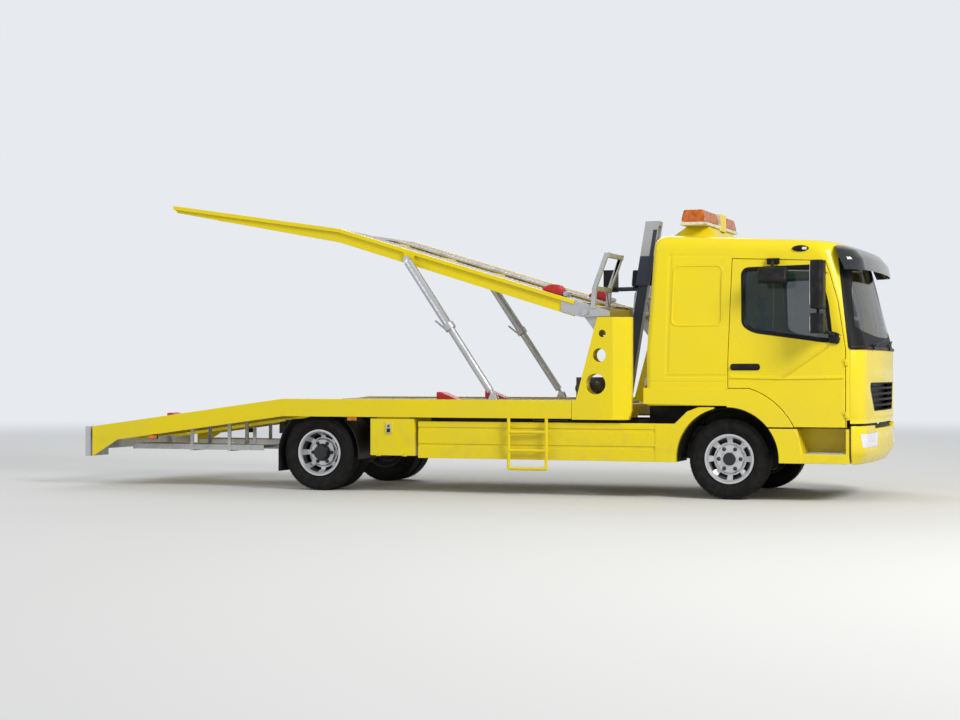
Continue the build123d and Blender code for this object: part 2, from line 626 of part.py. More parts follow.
def cab_body(inset, bottom_z):
    """The whole cab as a solid, shrunk by inset on every side."""
    front = CAB_FRONT_X - inset
    rear = CAB_REAR_X + inset
    half = CAB_HALF_WIDTH - inset
    eave_half = CAB_EAVE_HALF_WIDTH - inset
    eave_front = CAB_FRONT_X - CAB_RAKE - inset
    eave_rear = CAB_REAR_X + CAB_REAR_LEAN + inset
    base = cab_outline(bottom_z, bottom_z, front, rear, half)
    waist = cab_outline(CAB_WAIST_Z, CAB_WAIST_Z, front, rear, half)
    eave = cab_outline(CAB_EAVE_REAR_Z, CAB_EAVE_FRONT_Z, eave_front, eave_rear, eave_half)
    body = loft([base, waist], ruled=True) + loft([waist, eave], ruled=True)
    below = eave
    for step in range(1, CAB_ROOF_STEPS + 1):
        turn = math.radians(90 * step / CAB_ROOF_STEPS)
        in_by = CAB_ROOF_ROUND * (1 - math.cos(turn))
        rear_z = CAB_EAVE_REAR_Z + (CAB_ROOF_REAR_Z - inset - CAB_EAVE_REAR_Z) * math.sin(turn)
        front_z = CAB_EAVE_FRONT_Z + (CAB_ROOF_FRONT_Z - inset - CAB_EAVE_FRONT_Z) * math.sin(turn)
        above = cab_outline(rear_z, front_z, eave_front - in_by, eave_rear + in_by, eave_half - in_by)
        body = body + loft([below, above], ruled=True)
        below = above
    return body


def grown(points, amount):
    """Push the points of an outline away from its middle, to leave a gap round it."""
    face = Face(Wire.make_polygon([(u, v, 0) for u, v in points], close=True))
    wire = offset(face, amount=amount, kind=Kind.INTERSECTION)
    ordered = wire.faces()[0].outer_wire().order_edges()
    return [((edge @ 0).X, (edge @ 0).Y) for edge in ordered]


def side_prism(points, side, radius=0):
    """An outline in X and Z that cuts one side of the cab."""
    return side_plate(points, side * (CAB_HALF_WIDTH - 260), side * (CAB_HALF_WIDTH + 60), radius)


def cab_wall_solid():
    """The hollow cab with its stepped floor, before openings are cut."""
    outer = cab_body(0, CAB_SIDE_BOTTOM_Z)
    band = side_plate(
        [(CAB_REAR_X - 20, CAB_BAND_BOTTOM_Z), (FRONT_AXLE_X, CAB_BAND_BOTTOM_Z - 14), (FRONT_AXLE_X, CAB_BAND_TOP_Z - 16),
         (CAB_REAR_X - 20, CAB_BAND_TOP_Z)],
        -CAB_HALF_WIDTH - CAB_BAND_PROUD, CAB_HALF_WIDTH + CAB_BAND_PROUD)
    flare = rod_y(FRONT_AXLE_X, AXLE_Z, -CAB_HALF_WIDTH - CAB_BAND_PROUD, CAB_HALF_WIDTH + CAB_BAND_PROUD, ARCH_FLARE_RADIUS)
    flare = flare & block(FRONT_AXLE_X - 1, FRONT_AXLE_X + 700, -1200, 1200, CAB_SIDE_BOTTOM_Z, CAB_BAND_TOP_Z)
    outer = outer + band + flare
    inner = cab_body(CAB_WALL, CAB_FLOOR_REAR_Z + CAB_WALL)
    foot = cab_outline(
        CAB_FLOOR_FRONT_Z + CAB_WALL, CAB_FLOOR_FRONT_Z + CAB_WALL, CAB_FRONT_X - CAB_WALL, CAB_REAR_X + CAB_WALL,
        CAB_HALF_WIDTH - CAB_WALL)
    foot = extrude(foot, amount=CAB_WAIST_Z - CAB_FLOOR_FRONT_Z - CAB_WALL, dir=(0, 0, 1))
    foot = foot & block(CAB_FOOTWELL_X + CAB_WALL, CAB_FRONT_X, -CAB_HALF_WIDTH, CAB_HALF_WIDTH, 0, CAB_WAIST_Z)
    shell = outer - inner - foot
    below_rear = block(CAB_REAR_X - 50, CAB_FOOTWELL_X, -1200, 1200, 0, CAB_BAND_BOTTOM_Z - 14)
    below_front = block(CAB_FOOTWELL_X - 1, CAB_FRONT_X + 50, -CAB_HALF_WIDTH + DOOR_THICKNESS, CAB_HALF_WIDTH - DOOR_THICKNESS,
                        0, CAB_FLOOR_FRONT_Z)
    below_nose = block(PILLAR_SEAM_X - 30, CAB_FRONT_X + 50, -1200, 1200, 0, CAB_FRONT_BOTTOM_Z)
    arch = rod_y(FRONT_AXLE_X, AXLE_Z, -1200, 1200, ARCH_RADIUS)
    middle = block(CAB_REAR_X - 50, CAB_FOOTWELL_X, -CAB_HALF_WIDTH + DOOR_THICKNESS, CAB_HALF_WIDTH - DOOR_THICKNESS,
                   0, CAB_BAND_BOTTOM_Z - 13)
    flare_keep = rod_y(FRONT_AXLE_X, AXLE_Z, -1200, 1200, ARCH_FLARE_RADIUS)
    flare_keep = flare_keep & block(FRONT_AXLE_X, FRONT_AXLE_X + 700, -1200, 1200, CAB_SIDE_BOTTOM_Z, CAB_BAND_BOTTOM_Z + 60)
    flare_keep = flare_keep - block(FRONT_AXLE_X - 1, FRONT_AXLE_X + 700, -CAB_HALF_WIDTH + DOOR_THICKNESS + 10,
                                    CAB_HALF_WIDTH - DOOR_THICKNESS - 10, 0, CAB_BAND_BOTTOM_Z - 13)
    below_rear = below_rear - flare_keep
    return shell - below_rear - below_front - below_nose - arch - middle


def cab_parts():
    """Cab shell, front panel, windscreen and both doors with their glass."""
    shell = cab_wall_solid()
    nose_line = [
        (PILLAR_SEAM_X, CAB_FRONT_BOTTOM_Z - 5), (PILLAR_SEAM_X, CAB_WAIST_Z), (CAB_FRONT_X + 60, CAB_WAIST_Z),
        (CAB_FRONT_X + 60, CAB_FRONT_BOTTOM_Z - 5),
    ]
    nose = side_plate(nose_line, -1200, 1200)
    nose_leaf = side_plate(grown(nose_line, -SEAT_GAP), -1200, 1200)
    layer = cab_body(0, CAB_FRONT_BOTTOM_Z) - cab_body(CAB_WALL, CAB_FRONT_BOTTOM_Z - 10)
    panel = layer & nose_leaf
    shell = shell - (nose - cab_body(CAB_WALL + SEAT_GAP, CAB_SIDE_BOTTOM_Z - 10))
    screen_line = [
        (PILLAR_SEAM_X, SCREEN_BOTTOM_Z), (CAB_FRONT_X + 60, SCREEN_BOTTOM_Z), (CAB_FRONT_X + 60, SCREEN_TOP_Z),
        (SCREEN_TOP_X, SCREEN_TOP_Z),
    ]
    screen_cut = side_plate(screen_line, -1200, 1200)
    pane = (cab_body(2, CAB_SIDE_BOTTOM_Z) - cab_body(10, CAB_SIDE_BOTTOM_Z - 10)) & side_plate(
        grown(screen_line, -SEAT_GAP), -1200, 1200)
    shell = shell - screen_cut
    doors = {}
    panes = {}
    cabin = cab_body(CAB_WALL, CAB_SIDE_BOTTOM_Z - 10)
    cabin_wide = cab_body(CAB_WALL + GAP, CAB_SIDE_BOTTOM_Z - 10)
    for side in (RIGHT, LEFT):
        opening = side_prism(grown(DOOR_OUTLINE, GAP / 2), side) - cabin_wide
        leaf_cut = side_prism(grown(DOOR_OUTLINE, -GAP / 2), side) - cabin
        window = side_prism(WINDOW_OUTLINE, side, 60)
        door = shell & leaf_cut
        shell = shell - opening
        doors[side] = door - window
        glass = (cab_body(18, CAB_SIDE_BOTTOM_Z) - cab_body(24, CAB_SIDE_BOTTOM_Z - 10)) & side_prism(
            grown(WINDOW_OUTLINE, -SEAT_GAP), side, 60)
        panes[side] = glass
        blank = side_plate(BLANK_OUTLINE, side * (CAB_HALF_WIDTH - 45), side * (CAB_HALF_WIDTH + 60), BLANK_RADIUS)
        bead = side_plate(grown(BLANK_OUTLINE, BLANK_BEAD), side * (CAB_HALF_WIDTH - 60), side * (CAB_HALF_WIDTH + 60),
                          BLANK_RADIUS + BLANK_BEAD)
        bead = (bead & (cab_body(-BLANK_BEAD_PROUD, CAB_SIDE_BOTTOM_Z) - cab_body(10, CAB_SIDE_BOTTOM_Z - 10))) - blank
        recess = blank - cab_body(8, CAB_SIDE_BOTTOM_Z)
        shell = shell - recess + bead
        ear = side_plate(
            [(CAB_PIVOT_X - 90, CAB_FLOOR_FRONT_Z + 10), (CAB_PIVOT_X - 32, CAB_PIVOT_Z - 32),
             (CAB_PIVOT_X + 32, CAB_PIVOT_Z - 32), (CAB_PIVOT_X + 32, CAB_PIVOT_Z + 20),
             (CAB_PIVOT_X - 10, CAB_PIVOT_Z + 103), (CAB_PIVOT_X - 34, CAB_FLOOR_FRONT_Z + 10)],
            side * (RAIL_FACE_Y - RAIL_FLANGE - 60), side * (RAIL_FACE_Y - RAIL_FLANGE - 30))
        ear = ear - rod_y(CAB_PIVOT_X, CAB_PIVOT_Z, side * 200, side * 500, CAB_PIVOT_DIAMETER / 2 + PIN_CLEARANCE)
        post = block(PILLAR_SEAM_X - 33, PILLAR_SEAM_X - 2, side * (CAB_HALF_WIDTH - CAB_WALL - 60),
                     side * (CAB_HALF_WIDTH - CAB_WALL - GAP), CAB_FLOOR_FRONT_Z + 4, CAB_WAIST_Z + 8)
        shell = shell + ear + post
        for z in (CAB_SIDE_BOTTOM_Z + 120, CAB_WAIST_Z - 120):
            fixed, swinging = door_hinge(side, z)
            shell = shell + fixed
            doors[side] = doors[side] + swinging
    return shell, panel, pane, doors, panes


def door_hinge(side, z):
    """The pillar's pin leaf and the door's eye leaf of one hinge."""
    x = DOOR_FRONT_X
    y = side * (CAB_HALF_WIDTH + DOOR_HINGE_RADIUS)
    half = DOOR_HINGE_HEIGHT / 2
    radius = DOOR_HINGE_RADIUS
    root = side * (CAB_HALF_WIDTH - 14)
    fixed = block(x + 4, x + 26, root, y, z - half, z) + rod((x, y, z - half), (x, y, z), radius)
    fixed = fixed + block(x, x + 5, y - side * radius, y + side * radius * 0.6, z - half, z)
    fixed = fixed + rod((x, y, z - 1), (x, y, z + half), radius / 2)
    eye = rod((x, y, z + 0.5), (x, y, z + half), radius)
    eye = eye + block(x - 26, x, root, y, z + 0.5, z + half)
    eye = eye - rod((x, y, z), (x, y, z + half + 1), radius / 2 + PIN_CLEARANCE)
    return fixed, eye


def grille(panel):
    """Cut the grille mouth from the front panel and fill it with slats in a frame."""
    top_z = GRILLE_TOP_Z
    bottom_z = GRILLE_BOTTOM_Z
    mouth_line = [(-GRILLE_TOP_HALF, top_z), (GRILLE_TOP_HALF, top_z), (GRILLE_BOTTOM_HALF, bottom_z), (-GRILLE_BOTTOM_HALF, bottom_z)]
    mouth = front_plate(mouth_line, CAB_FRONT_X - 200, CAB_FRONT_X + 60, 40)
    core = front_plate(grown(mouth_line, -SEAT_GAP), CAB_FRONT_X - 200, CAB_FRONT_X + 60, 40 - SEAT_GAP)
    layer = cab_body(6, 700) - cab_body(30, 690)
    insert = core & layer
    pitch = (top_z - bottom_z) / GRILLE_BARS
    for k in range(GRILLE_BARS):
        z = bottom_z + pitch * (k + 0.5)
        width = GRILLE_BOTTOM_HALF - 40 + (GRILLE_TOP_HALF - GRILLE_BOTTOM_HALF) * k / GRILLE_BARS
        insert = insert - block(CAB_FRONT_X - 260, CAB_FRONT_X + 60, -width, width, z - pitch * 0.3, z + pitch * 0.3)
    return panel - mouth, insert


def bumper_body(inset, past):
    """The bumper's outside as a solid, shrunk by inset and run past both ends, with a chin that tucks in."""
    front = CAB_FRONT_X + BUMPER_PROUD - inset
    half = CAB_HALF_WIDTH + BUMPER_PROUD - inset
    low_z = BUMPER_BOTTOM - past
    chin_z = BUMPER_BOTTOM + BUMPER_CHIN
    high_z = BUMPER_TOP + past
    low = cab_outline(low_z, low_z, front - BUMPER_TUCK, CAB_REAR_X, half - BUMPER_TUCK / 4)
    chin = cab_outline(chin_z, chin_z, front, CAB_REAR_X, half)
    high = cab_outline(high_z, high_z, front, CAB_REAR_X, half)
    return loft([low, chin], ruled=True) + loft([chin, high], ruled=True)


def lamp_prism(side, amount):
    """A headlight's outline as a prism along X, grown by amount."""
    points = [(side * y, z) for y, z in grown(LAMP_OUTLINE, amount)]
    return front_plate(points, CAB_FRONT_X - LAMP_DEPTH, CAB_FRONT_X + 60, 20)


def front_bumper():
    """A wrapped bumper beam with an air slot under the front panel and lamp pockets."""
    keep = block(BUMPER_REAR_X, CAB_FRONT_X + 60, -1200, 1200, BUMPER_BOTTOM, BUMPER_TOP)
    bumper = (bumper_body(0, 0) - bumper_body(BUMPER_WALL, 1)) & keep
    bumper = bumper - block(CAB_FRONT_X - 260, CAB_FRONT_X + 60, -AIR_SLOT_HALF, AIR_SLOT_HALF, BUMPER_TOP - AIR_SLOT_DEPTH, BUMPER_TOP + 1)
    for side in (RIGHT, LEFT):
        bumper = bumper - lamp_prism(side, 0)
        arm = block(RAIL_FRONT_X - 60, CAB_FRONT_X - 55, side * 350, side * 415, BUMPER_BOTTOM + 115, RAIL_BOTTOM - 6)
        strut = block(RAIL_FRONT_X - 60, RAIL_FRONT_X - 20, side * 366, side * 415, RAIL_BOTTOM - 7, RAIL_BOTTOM - SEAT_GAP)
        bumper = bumper + arm + strut
    return bumper


def headlights():
    """A lamp unit in each bumper pocket, its lens following the bumper's curve."""
    skin = bumper_body(4, 0)
    return [lamp_prism(side, -SEAT_GAP) & skin for side in (RIGHT, LEFT)]


def cab_steps(side):
    """A step box below the door: black treads in a yellow surround, fixed to the chassis."""
    y_out = CAB_HALF_WIDTH
    y_in = CAB_HALF_WIDTH - 330
    rear_x = FRONT_AXLE_X
    front_x = BUMPER_REAR_X - 18
    body = side_plate(
        [(rear_x, STEP_SILL_Z), (front_x, STEP_SILL_Z), (front_x, STEP_TOP_Z), (rear_x, STEP_TOP_Z)],
        side * y_in, side * y_out)
    arch = rod_y(FRONT_AXLE_X, AXLE_Z, -1300, 1300, ARCH_RADIUS)
    recess = side_plate(
        [(FRONT_AXLE_X + ARCH_FLARE_RADIUS + 15, STEP_SILL_Z + 90), (front_x - 28, STEP_SILL_Z + 90), (front_x - 28, STEP_TOP_Z + 1),
         (FRONT_AXLE_X + ARCH_FLARE_RADIUS - 45, STEP_TOP_Z + 1)],
        side * (y_in + 40), side * (y_out + 60))
    flare = rod_y(FRONT_AXLE_X, AXLE_Z, side * (y_out - 20), side * (y_out + CAB_BAND_PROUD), ARCH_FLARE_RADIUS)
    flare = flare & block(rear_x, front_x, side * (y_out - 30), side * (y_out + 30), STEP_SILL_Z, STEP_TOP_Z)
    step = (body + flare) - arch - recess
    hollow = block(FRONT_AXLE_X + 600, front_x - 28, side * (y_in + 30), side * (y_out - 30), STEP_SILL_Z - 1, STEP_SILL_Z + 60)
    bracket = block(3560, 3620, side * (RAIL_FACE_Y + 0.3), side * (y_in + 5), RAIL_BOTTOM + 30, RAIL_BOTTOM + 90)
    return step - hollow + bracket


# Cab interior


def seat(y):
    """A driver's or passenger's seat: base, cushion and backrest with headrest."""
    x = 3010
    floor = CAB_FLOOR_REAR_Z + CAB_WALL
    base = block(x - 190, x + 190, y - 200, y + 200, floor, floor + 130)
    cushion = side_plate(
        [(x - 240, floor + 130), (x + 270, floor + 130), (x + 270, floor + 250), (x - 240, floor + 220)],
        y - 240, y + 240, 30)
    back = side_plate(
        [(x - 235, floor + 215), (x - 110, floor + 225), (x - 190, floor + 820), (x - 290, floor + 810)],
        y - 235, y + 235, 35)
    head = side_plate(
        [(x - 285, floor + 840), (x - 200, floor + 840), (x - 215, floor + 1000), (x - 295, floor + 1000)],
        y - 130, y + 130, 20)
    stalk = rod((x - 245, y, floor + 790), (x - 247, y, floor + 860), 14)
    return base + cushion + back + head + stalk


def dashboard():
    """A moulded dashboard right across the cab, with its binnacle and column."""
    half = CAB_HALF_WIDTH - CAB_WALL - 60
    board = side_plate(
        [(3780, 1150), (3890, 1130), (3890, 1390), (3700, 1430), (3620, 1330), (3660, 1200)],
        -half + 20, half - 20, 25)
    binnacle = side_plate([(3620, 1360), (3760, 1380), (3740, 1500), (3640, 1470)], 290, 790, 25)
    centre, axis = steering_axis()
    end = centre - axis * (STEERING_HUB / 2 + SEAT_GAP)
    start = end - axis * 230
    column = rod((start.X, start.Y, start.Z), (end.X, end.Y, end.Z), 32)
    pillar = block(3700, 3790, 440, 640, CAB_FLOOR_FRONT_Z + CAB_WALL, 1200)
    return board + binnacle + column + pillar


def steering_axis():
    """Middle of the steering wheel, and the direction of its column towards the driver."""
    return Vector(3500, SEAT_Y, 1393), Vector(-170, 0, 130).normalized()


def steering_wheel():
    centre, axis = steering_axis()
    plane = Plane(origin=centre, z_dir=axis)
    rim = plane * Torus(225, 16)
    hub = plane * Cylinder(55, STEERING_HUB)
    wheel = rim + hub
    for k in range(3):
        spoke = plane * Rot(0, 0, 120 * k + 90) * Pos(125, 0, 0) * Box(190, 34, 16)
        wheel = wheel + spoke
    return wheel


def beacon():
    """Light bar on a moulded pedestal: two lens runs with a blank plate between."""
    x = BEACON_X
    y_end = BEACON_HALF
    base_z = BEACON_BASE_Z
    base = block(x - 130, x + 130, -y_end, y_end, base_z, base_z + 30)
    pedestal = loft([
        Face(Wire.make_polygon([(x - 300, -620, 2470), (x + 260, -620, 2455), (x + 260, 620, 2455), (x - 300, 620, 2470)])),
        Face(Wire.make_polygon([(x - 110, -520, base_z), (x + 110, -520, base_z), (x + 110, 520, base_z), (x - 110, 520, base_z)])),
    ], ruled=True)
    pedestal = pedestal - cab_body(-0.3, CAB_SIDE_BOTTOM_Z)
    notch = block(x - 400, x + 400, -120, 120, base_z - 35, base_z + 1)
    plate = front_plate([(-110, base_z - 20), (110, base_z - 20), (120, base_z + 150), (-120, base_z + 150)], x - 40, x + 142)
    lens = []
    for y in (-1, 1):
        dome = side_plate([(x - 125, base_z + 30), (x + 125, base_z + 30), (x + 95, base_z + 150), (x - 95, base_z + 150)],
                          y * 125, y * (y_end - 5), 22)
        lens.append(dome)
    return pedestal - notch, [base + plate], lens


def visor_body(inset):
    """The domed visor as a solid, shrunk by inset."""
    rings = []
    for z, behind, wider in VISOR_RINGS:
        front = CAB_FRONT_X - behind - inset
        half = CAB_EAVE_HALF_WIDTH + wider - inset
        rings.append(cab_outline(z - inset, z - inset, front, CAB_REAR_X, half))
    body = loft([rings[0], rings[1]], ruled=True)
    for low, high in zip(rings[1:], rings[2:]):
        body = body + loft([low, high], ruled=True)
    return body


def sun_visor():
    """A tinted, domed visor over the windscreen, on three brackets from the roof."""
    low_z = VISOR_RINGS[0][0]
    top_z = VISOR_RINGS[-1][0]
    keep = side_plate(
        [(VISOR_END_LOW_X, low_z), (CAB_FRONT_X + 40, low_z), (CAB_FRONT_X + 40, top_z + 1), (VISOR_END_TOP_X, top_z + 1)], -1200, 1200)
    outside = visor_body(0)
    visor = (outside - visor_body(VISOR_WALL)) & keep
    for y in (-620, 0, 620):
        visor = visor + (block(VISOR_END_TOP_X, CAB_FRONT_X, y - 15, y + 15, 2290, 2310) & outside)
    return visor - cab_body(-SEAT_GAP, CAB_SIDE_BOTTOM_Z)


def mirror_set(side):
    """A tall main mirror and a wide-angle mirror on one bar, its foot on the door, with the door handle."""
    x = (MIRROR_REAR_X + MIRROR_FRONT_X) / 2
    plan = [
        (MIRROR_REAR_X, -MIRROR_Y - MIRROR_HALF), (MIRROR_FRONT_X, -MIRROR_Y - MIRROR_HALF),
        (MIRROR_FRONT_X, -MIRROR_Y + MIRROR_HALF), (MIRROR_REAR_X, -MIRROR_Y + MIRROR_HALF),
    ]
    head = plan_plate(plan, 1782, 2225, 45)
    wide = plan_plate(plan, 1555, 1741, 45)
    bar = rod((x, -MIRROR_Y, 1600), (x, -MIRROR_Y, 2180), 14)
    arm = rod((x, -MIRROR_Y, 2140), (3668, -(CAB_EAVE_HALF_WIDTH - 20), 2126), 14)
    low = rod((x, -MIRROR_Y, 1620), (3765, -(CAB_HALF_WIDTH - 5), 1530), 16)
    foot = side_plate([(3712, 1470), (3812, 1462), (3806, 1560), (3722, 1584)], -(CAB_HALF_WIDTH + 22), -(CAB_HALF_WIDTH - 40), 20)
    parts = (head + wide + arm + low + bar + foot) - cab_body(-SEAT_GAP, CAB_SIDE_BOTTOM_Z)
    handle = block(2800, 3060, -(CAB_HALF_WIDTH + 22), -(CAB_HALF_WIDTH + SEAT_GAP), 1232, 1266)
    return [sided(parts, side), sided(handle, side)]


# Side equipment under the deck

def side_skirt(side):
    """A fluted guard panel that ends in the rear half of the front wheel arch."""
    rear_arch = FRONT_AXLE_X - 690
    panel = side_plate(
        [(SKIRT_REAR_X, SKIRT_BOTTOM), (FRONT_AXLE_X - 470, SKIRT_BOTTOM), (FRONT_AXLE_X - 470, SKIRT_TOP), (SKIRT_REAR_X, SKIRT_TOP)],
        side * (SKIRT_FACE_Y - 30), side * SKIRT_FACE_Y)
    groove_y = side * (SKIRT_FACE_Y - 8)
    for z in (SKIRT_TOP - 70, SKIRT_BOTTOM + 130):
        groove = side_plate([(SKIRT_REAR_X - 1, z - 14), (rear_arch, z - 14), (rear_arch, z + 14), (SKIRT_REAR_X - 1, z + 14)],
                            groove_y, side * (SKIRT_FACE_Y + 10))
        panel = panel - groove
    fender = side_plate(
        [(rear_arch, SKIRT_BOTTOM), (FRONT_AXLE_X - 300, SKIRT_BOTTOM), (FRONT_AXLE_X - 120, 872), (FRONT_AXLE_X - 270, 872),
         (FRONT_AXLE_X - 380, 830), (FRONT_AXLE_X - 500, 714), (rear_arch, 703)],
        side * (SKIRT_FACE_Y - 260), side * (SKIRT_FACE_Y + 4))
    inside = rod_y(FRONT_AXLE_X, AXLE_Z, side * (SKIRT_FACE_Y - 300), side * (SKIRT_FACE_Y + 60), ARCH_RADIUS)
    guard = panel + fender - inside
    hollow = block(rear_arch + 30, FRONT_AXLE_X - 560, side * (SKIRT_FACE_Y - 270), side * (SKIRT_FACE_Y - 30),
                   SKIRT_BOTTOM - 1, SKIRT_TOP - 40)
    guard = guard - hollow
    for x in (-100, 500, 1580):
        arm = block(x - 20, x + 20, side * (RAIL_FACE_Y + 0.3), side * (SKIRT_FACE_Y - 25), RAIL_BOTTOM + 60, RAIL_BOTTOM + 110)
        guard = guard + arm
    return guard


def toolbox(side):
    """A sheet steel toolbox, open at its outer face, hung from the deck rail."""
    y_out = side * (SKIRT_FACE_Y + 10)
    y_in = side * (SKIRT_FACE_Y - 440)
    body = block(TOOLBOX_REAR_X, TOOLBOX_FRONT_X, y_in, y_out, TOOLBOX_BOTTOM, TOOLBOX_TOP)
    wall = TOOLBOX_WALL
    cavity = block(TOOLBOX_REAR_X + wall, TOOLBOX_FRONT_X - wall, y_in + side * wall, y_out + side, TOOLBOX_BOTTOM + wall,
                   TOOLBOX_TOP - wall)
    hanger = block(TOOLBOX_REAR_X + 60, TOOLBOX_FRONT_X - 60, side * (DECK_FACE_Y - 50), side * SKIRT_FACE_Y,
                   TOOLBOX_TOP, LOWER_RAIL_BOTTOM - SEAT_GAP)
    box = body - cavity + hanger
    radius = TOOLBOX_HINGE_RADIUS
    hinge_y, hinge_z = toolbox_hinge(side)
    for x in toolbox_hinge_places():
        arm = block(x - 12, x + 12, y_out - side * 20, hinge_y, hinge_z - radius, TOOLBOX_BOTTOM + 1 - SEAT_GAP)
        arm = arm - block(x - 13, x + 13, y_out, hinge_y + side, TOOLBOX_BOTTOM - 0.5, TOOLBOX_BOTTOM + 2)
        box = box + arm + rod_x(hinge_y, hinge_z, x - 12, x + 12, radius)
        box = box + rod_x(hinge_y, hinge_z, x - 1, x + 36, radius / 2)
    return box


def toolbox_hinge(side):
    """Y and Z of the toolbox door's hinge line, at the lower edge of its outer face."""
    return side * (SKIRT_FACE_Y + 11 + TOOLBOX_DOOR), TOOLBOX_BOTTOM + 2


def toolbox_hinge_places():
    """X of each toolbox hinge."""
    return TOOLBOX_REAR_X + 80, TOOLBOX_FRONT_X - 110


def toolbox_door(side):
    """The drop-down door of the toolbox, hinged along its lower edge, with a latch plate."""
    y0 = side * (SKIRT_FACE_Y + 11)
    y1 = side * (SKIRT_FACE_Y + 11 + TOOLBOX_DOOR)
    leaf = block(TOOLBOX_REAR_X + 2, TOOLBOX_FRONT_X - 2, y0, y1, TOOLBOX_BOTTOM + 2, TOOLBOX_TOP - 2)
    radius = TOOLBOX_HINGE_RADIUS
    hinge_y, hinge_z = toolbox_hinge(side)
    for x in toolbox_hinge_places():
        leaf = leaf - block(x - 14, x + 14, y0 - side, y1 + side, hinge_z - 1, hinge_z + radius + 3)
        leaf = leaf + rod_x(hinge_y, hinge_z, x + 12.5, x + 36, radius)
        leaf = leaf - rod_x(hinge_y, hinge_z, x - 2, x + 37, radius / 2 + PIN_CLEARANCE)
    latch = block(-700, -620, y1, y1 + side * 8, 600, 700)
    return leaf + latch


def ladder():
    """A tubular ladder hooked under the right-hand deck rail."""
    y = -(SKIRT_FACE_Y + 50)
    x0 = LADDER_REAR_X
    x1 = LADDER_FRONT_X
    radius = 16
    top = LOWER_RAIL_BOTTOM - SEAT_GAP
    parts = rod((x0, y, top), (x0, y, LADDER_BOTTOM_Z), radius) + rod((x1, y, top), (x1, y, LADDER_BOTTOM_Z), radius)
    for z in (620, 440, LADDER_BOTTOM_Z + 2):
        parts = parts + rod((x0, y, z), (x1, y, z), radius)
    for x in (x0, x1):
        stay = rod((x, y, 680), (x, -(SKIRT_FACE_Y + 0.3), 680), 12)
        parts = parts + stay
    return parts


def front_mudguard(side):
    """A black liner over the front wheel, on two stays from the chassis rail."""
    y0 = side * (FRONT_TYRE_FACE_Y - TYRE_WIDTH - 80)
    y1 = side * (FRONT_TYRE_FACE_Y + 50)
    radius = LINER_RADIUS
    liner = rod_y(FRONT_AXLE_X, AXLE_Z, y0, y1, radius + LINER_THICKNESS)
    liner = liner - rod_y(FRONT_AXLE_X, AXLE_Z, y0 - side, y1 + side, radius)
    liner = liner & block(FRONT_AXLE_X - 500, FRONT_AXLE_X + 500, -1200, 1200, AXLE_Z + 20, AXLE_Z + 500)
    stay_z = RAIL_TOP - 40
    reach = math.sqrt((radius + LINER_THICKNESS / 2) ** 2 - (stay_z - AXLE_Z) ** 2)
    for x in (FRONT_AXLE_X - reach, FRONT_AXLE_X + reach):
        liner = liner + rod_y(x, stay_z, side * (RAIL_FACE_Y + SEAT_GAP), y0 + side * 20, 12)
    return liner


def rear_mudguards(side):
    """A black curved guard ahead of and behind each pair of rear wheels, with a hanging flap."""
    y0 = side * (REAR_TYRE_FACE_Y - 2 * TYRE_WIDTH - 30)
    y1 = side * (REAR_TYRE_FACE_Y + 10)
    radius = MUDGUARD_RADIUS
    tube = rod_y(REAR_AXLE_X, AXLE_Z, y0, y1, radius + 8) - rod_y(REAR_AXLE_X, AXLE_Z, y0 - side, y1 + side, radius)
    front = tube & block(REAR_AXLE_X + 250, REAR_AXLE_X + 500, -1200, 1200, AXLE_Z - 60, AXLE_Z + 340)
    rear = tube & block(REAR_AXLE_X - 500, REAR_AXLE_X - 250, -1200, 1200, AXLE_Z - 10, AXLE_Z + 340)
    flap = block(REAR_AXLE_X - radius - 8, REAR_AXLE_X - radius, y0, y1, 190, AXLE_Z)
    stay_z = RAIL_BOTTOM + 60
    reach = math.sqrt((radius + 4) ** 2 - (stay_z - AXLE_Z) ** 2)
    stays = []
    for x in (REAR_AXLE_X + reach, REAR_AXLE_X - reach):
        stays.append(rod_y(x, stay_z, side * (RAIL_FACE_Y + SEAT_GAP), y0 + side * 20, 15))
    return [front + stays[0], rear + flap + stays[1]]


def tanks():
    """Fuel tank on the left and air tanks on the right, hung from the chassis rails."""
    fuel = front_plate([(540, 380), (1000, 380), (1000, 700), (540, 700)], 600, 1500, 70)
    strap = block(700, 740, RAIL_FACE_Y + 0.3, 545, 400, 690) + block(1360, 1400, RAIL_FACE_Y + 0.3, 545, 400, 690)
    air = []
    for z in (450, 640):
        air.append(rod_x(-640, z, 700, 1400, 85))
    hanger = block(860, 900, -560, -(RAIL_FACE_Y + 0.3), 400, 690) + block(1200, 1240, -560, -(RAIL_FACE_Y + 0.3), 400, 690)
    right = hanger
    for tank in air:
        right = right + tank
    return [fuel + strap, right]


# Lower deck: fixed bed with a sloping tail


def lower_line(x, below=0):
    """Height of the lower deck's top line at X, minus an offset."""
    if x >= LOWER_KNEE_X:
        return LOWER_DECK_TOP - below
    share = (LOWER_KNEE_X - x) / (LOWER_KNEE_X - LOWER_REAR_X)
    return LOWER_DECK_TOP - (LOWER_DECK_TOP - LOWER_REAR_TOP) * share - below


def lower_strip(x_rear, x_front, top, bottom):
    """Outline of a strip that follows the lower deck's profile between two offsets."""
    points = [(x_front, lower_line(x_front, top))]
    if x_rear < LOWER_KNEE_X < x_front:
        points.append((LOWER_KNEE_X, lower_line(LOWER_KNEE_X, top)))
    points.append((x_rear, lower_line(x_rear, top)))
    points.append((x_rear, lower_line(x_rear, bottom)))
    if x_rear < LOWER_KNEE_X < x_front:
        points.append((LOWER_KNEE_X, lower_line(LOWER_KNEE_X, bottom)))
    points.append((x_front, lower_line(x_front, bottom)))
    return points


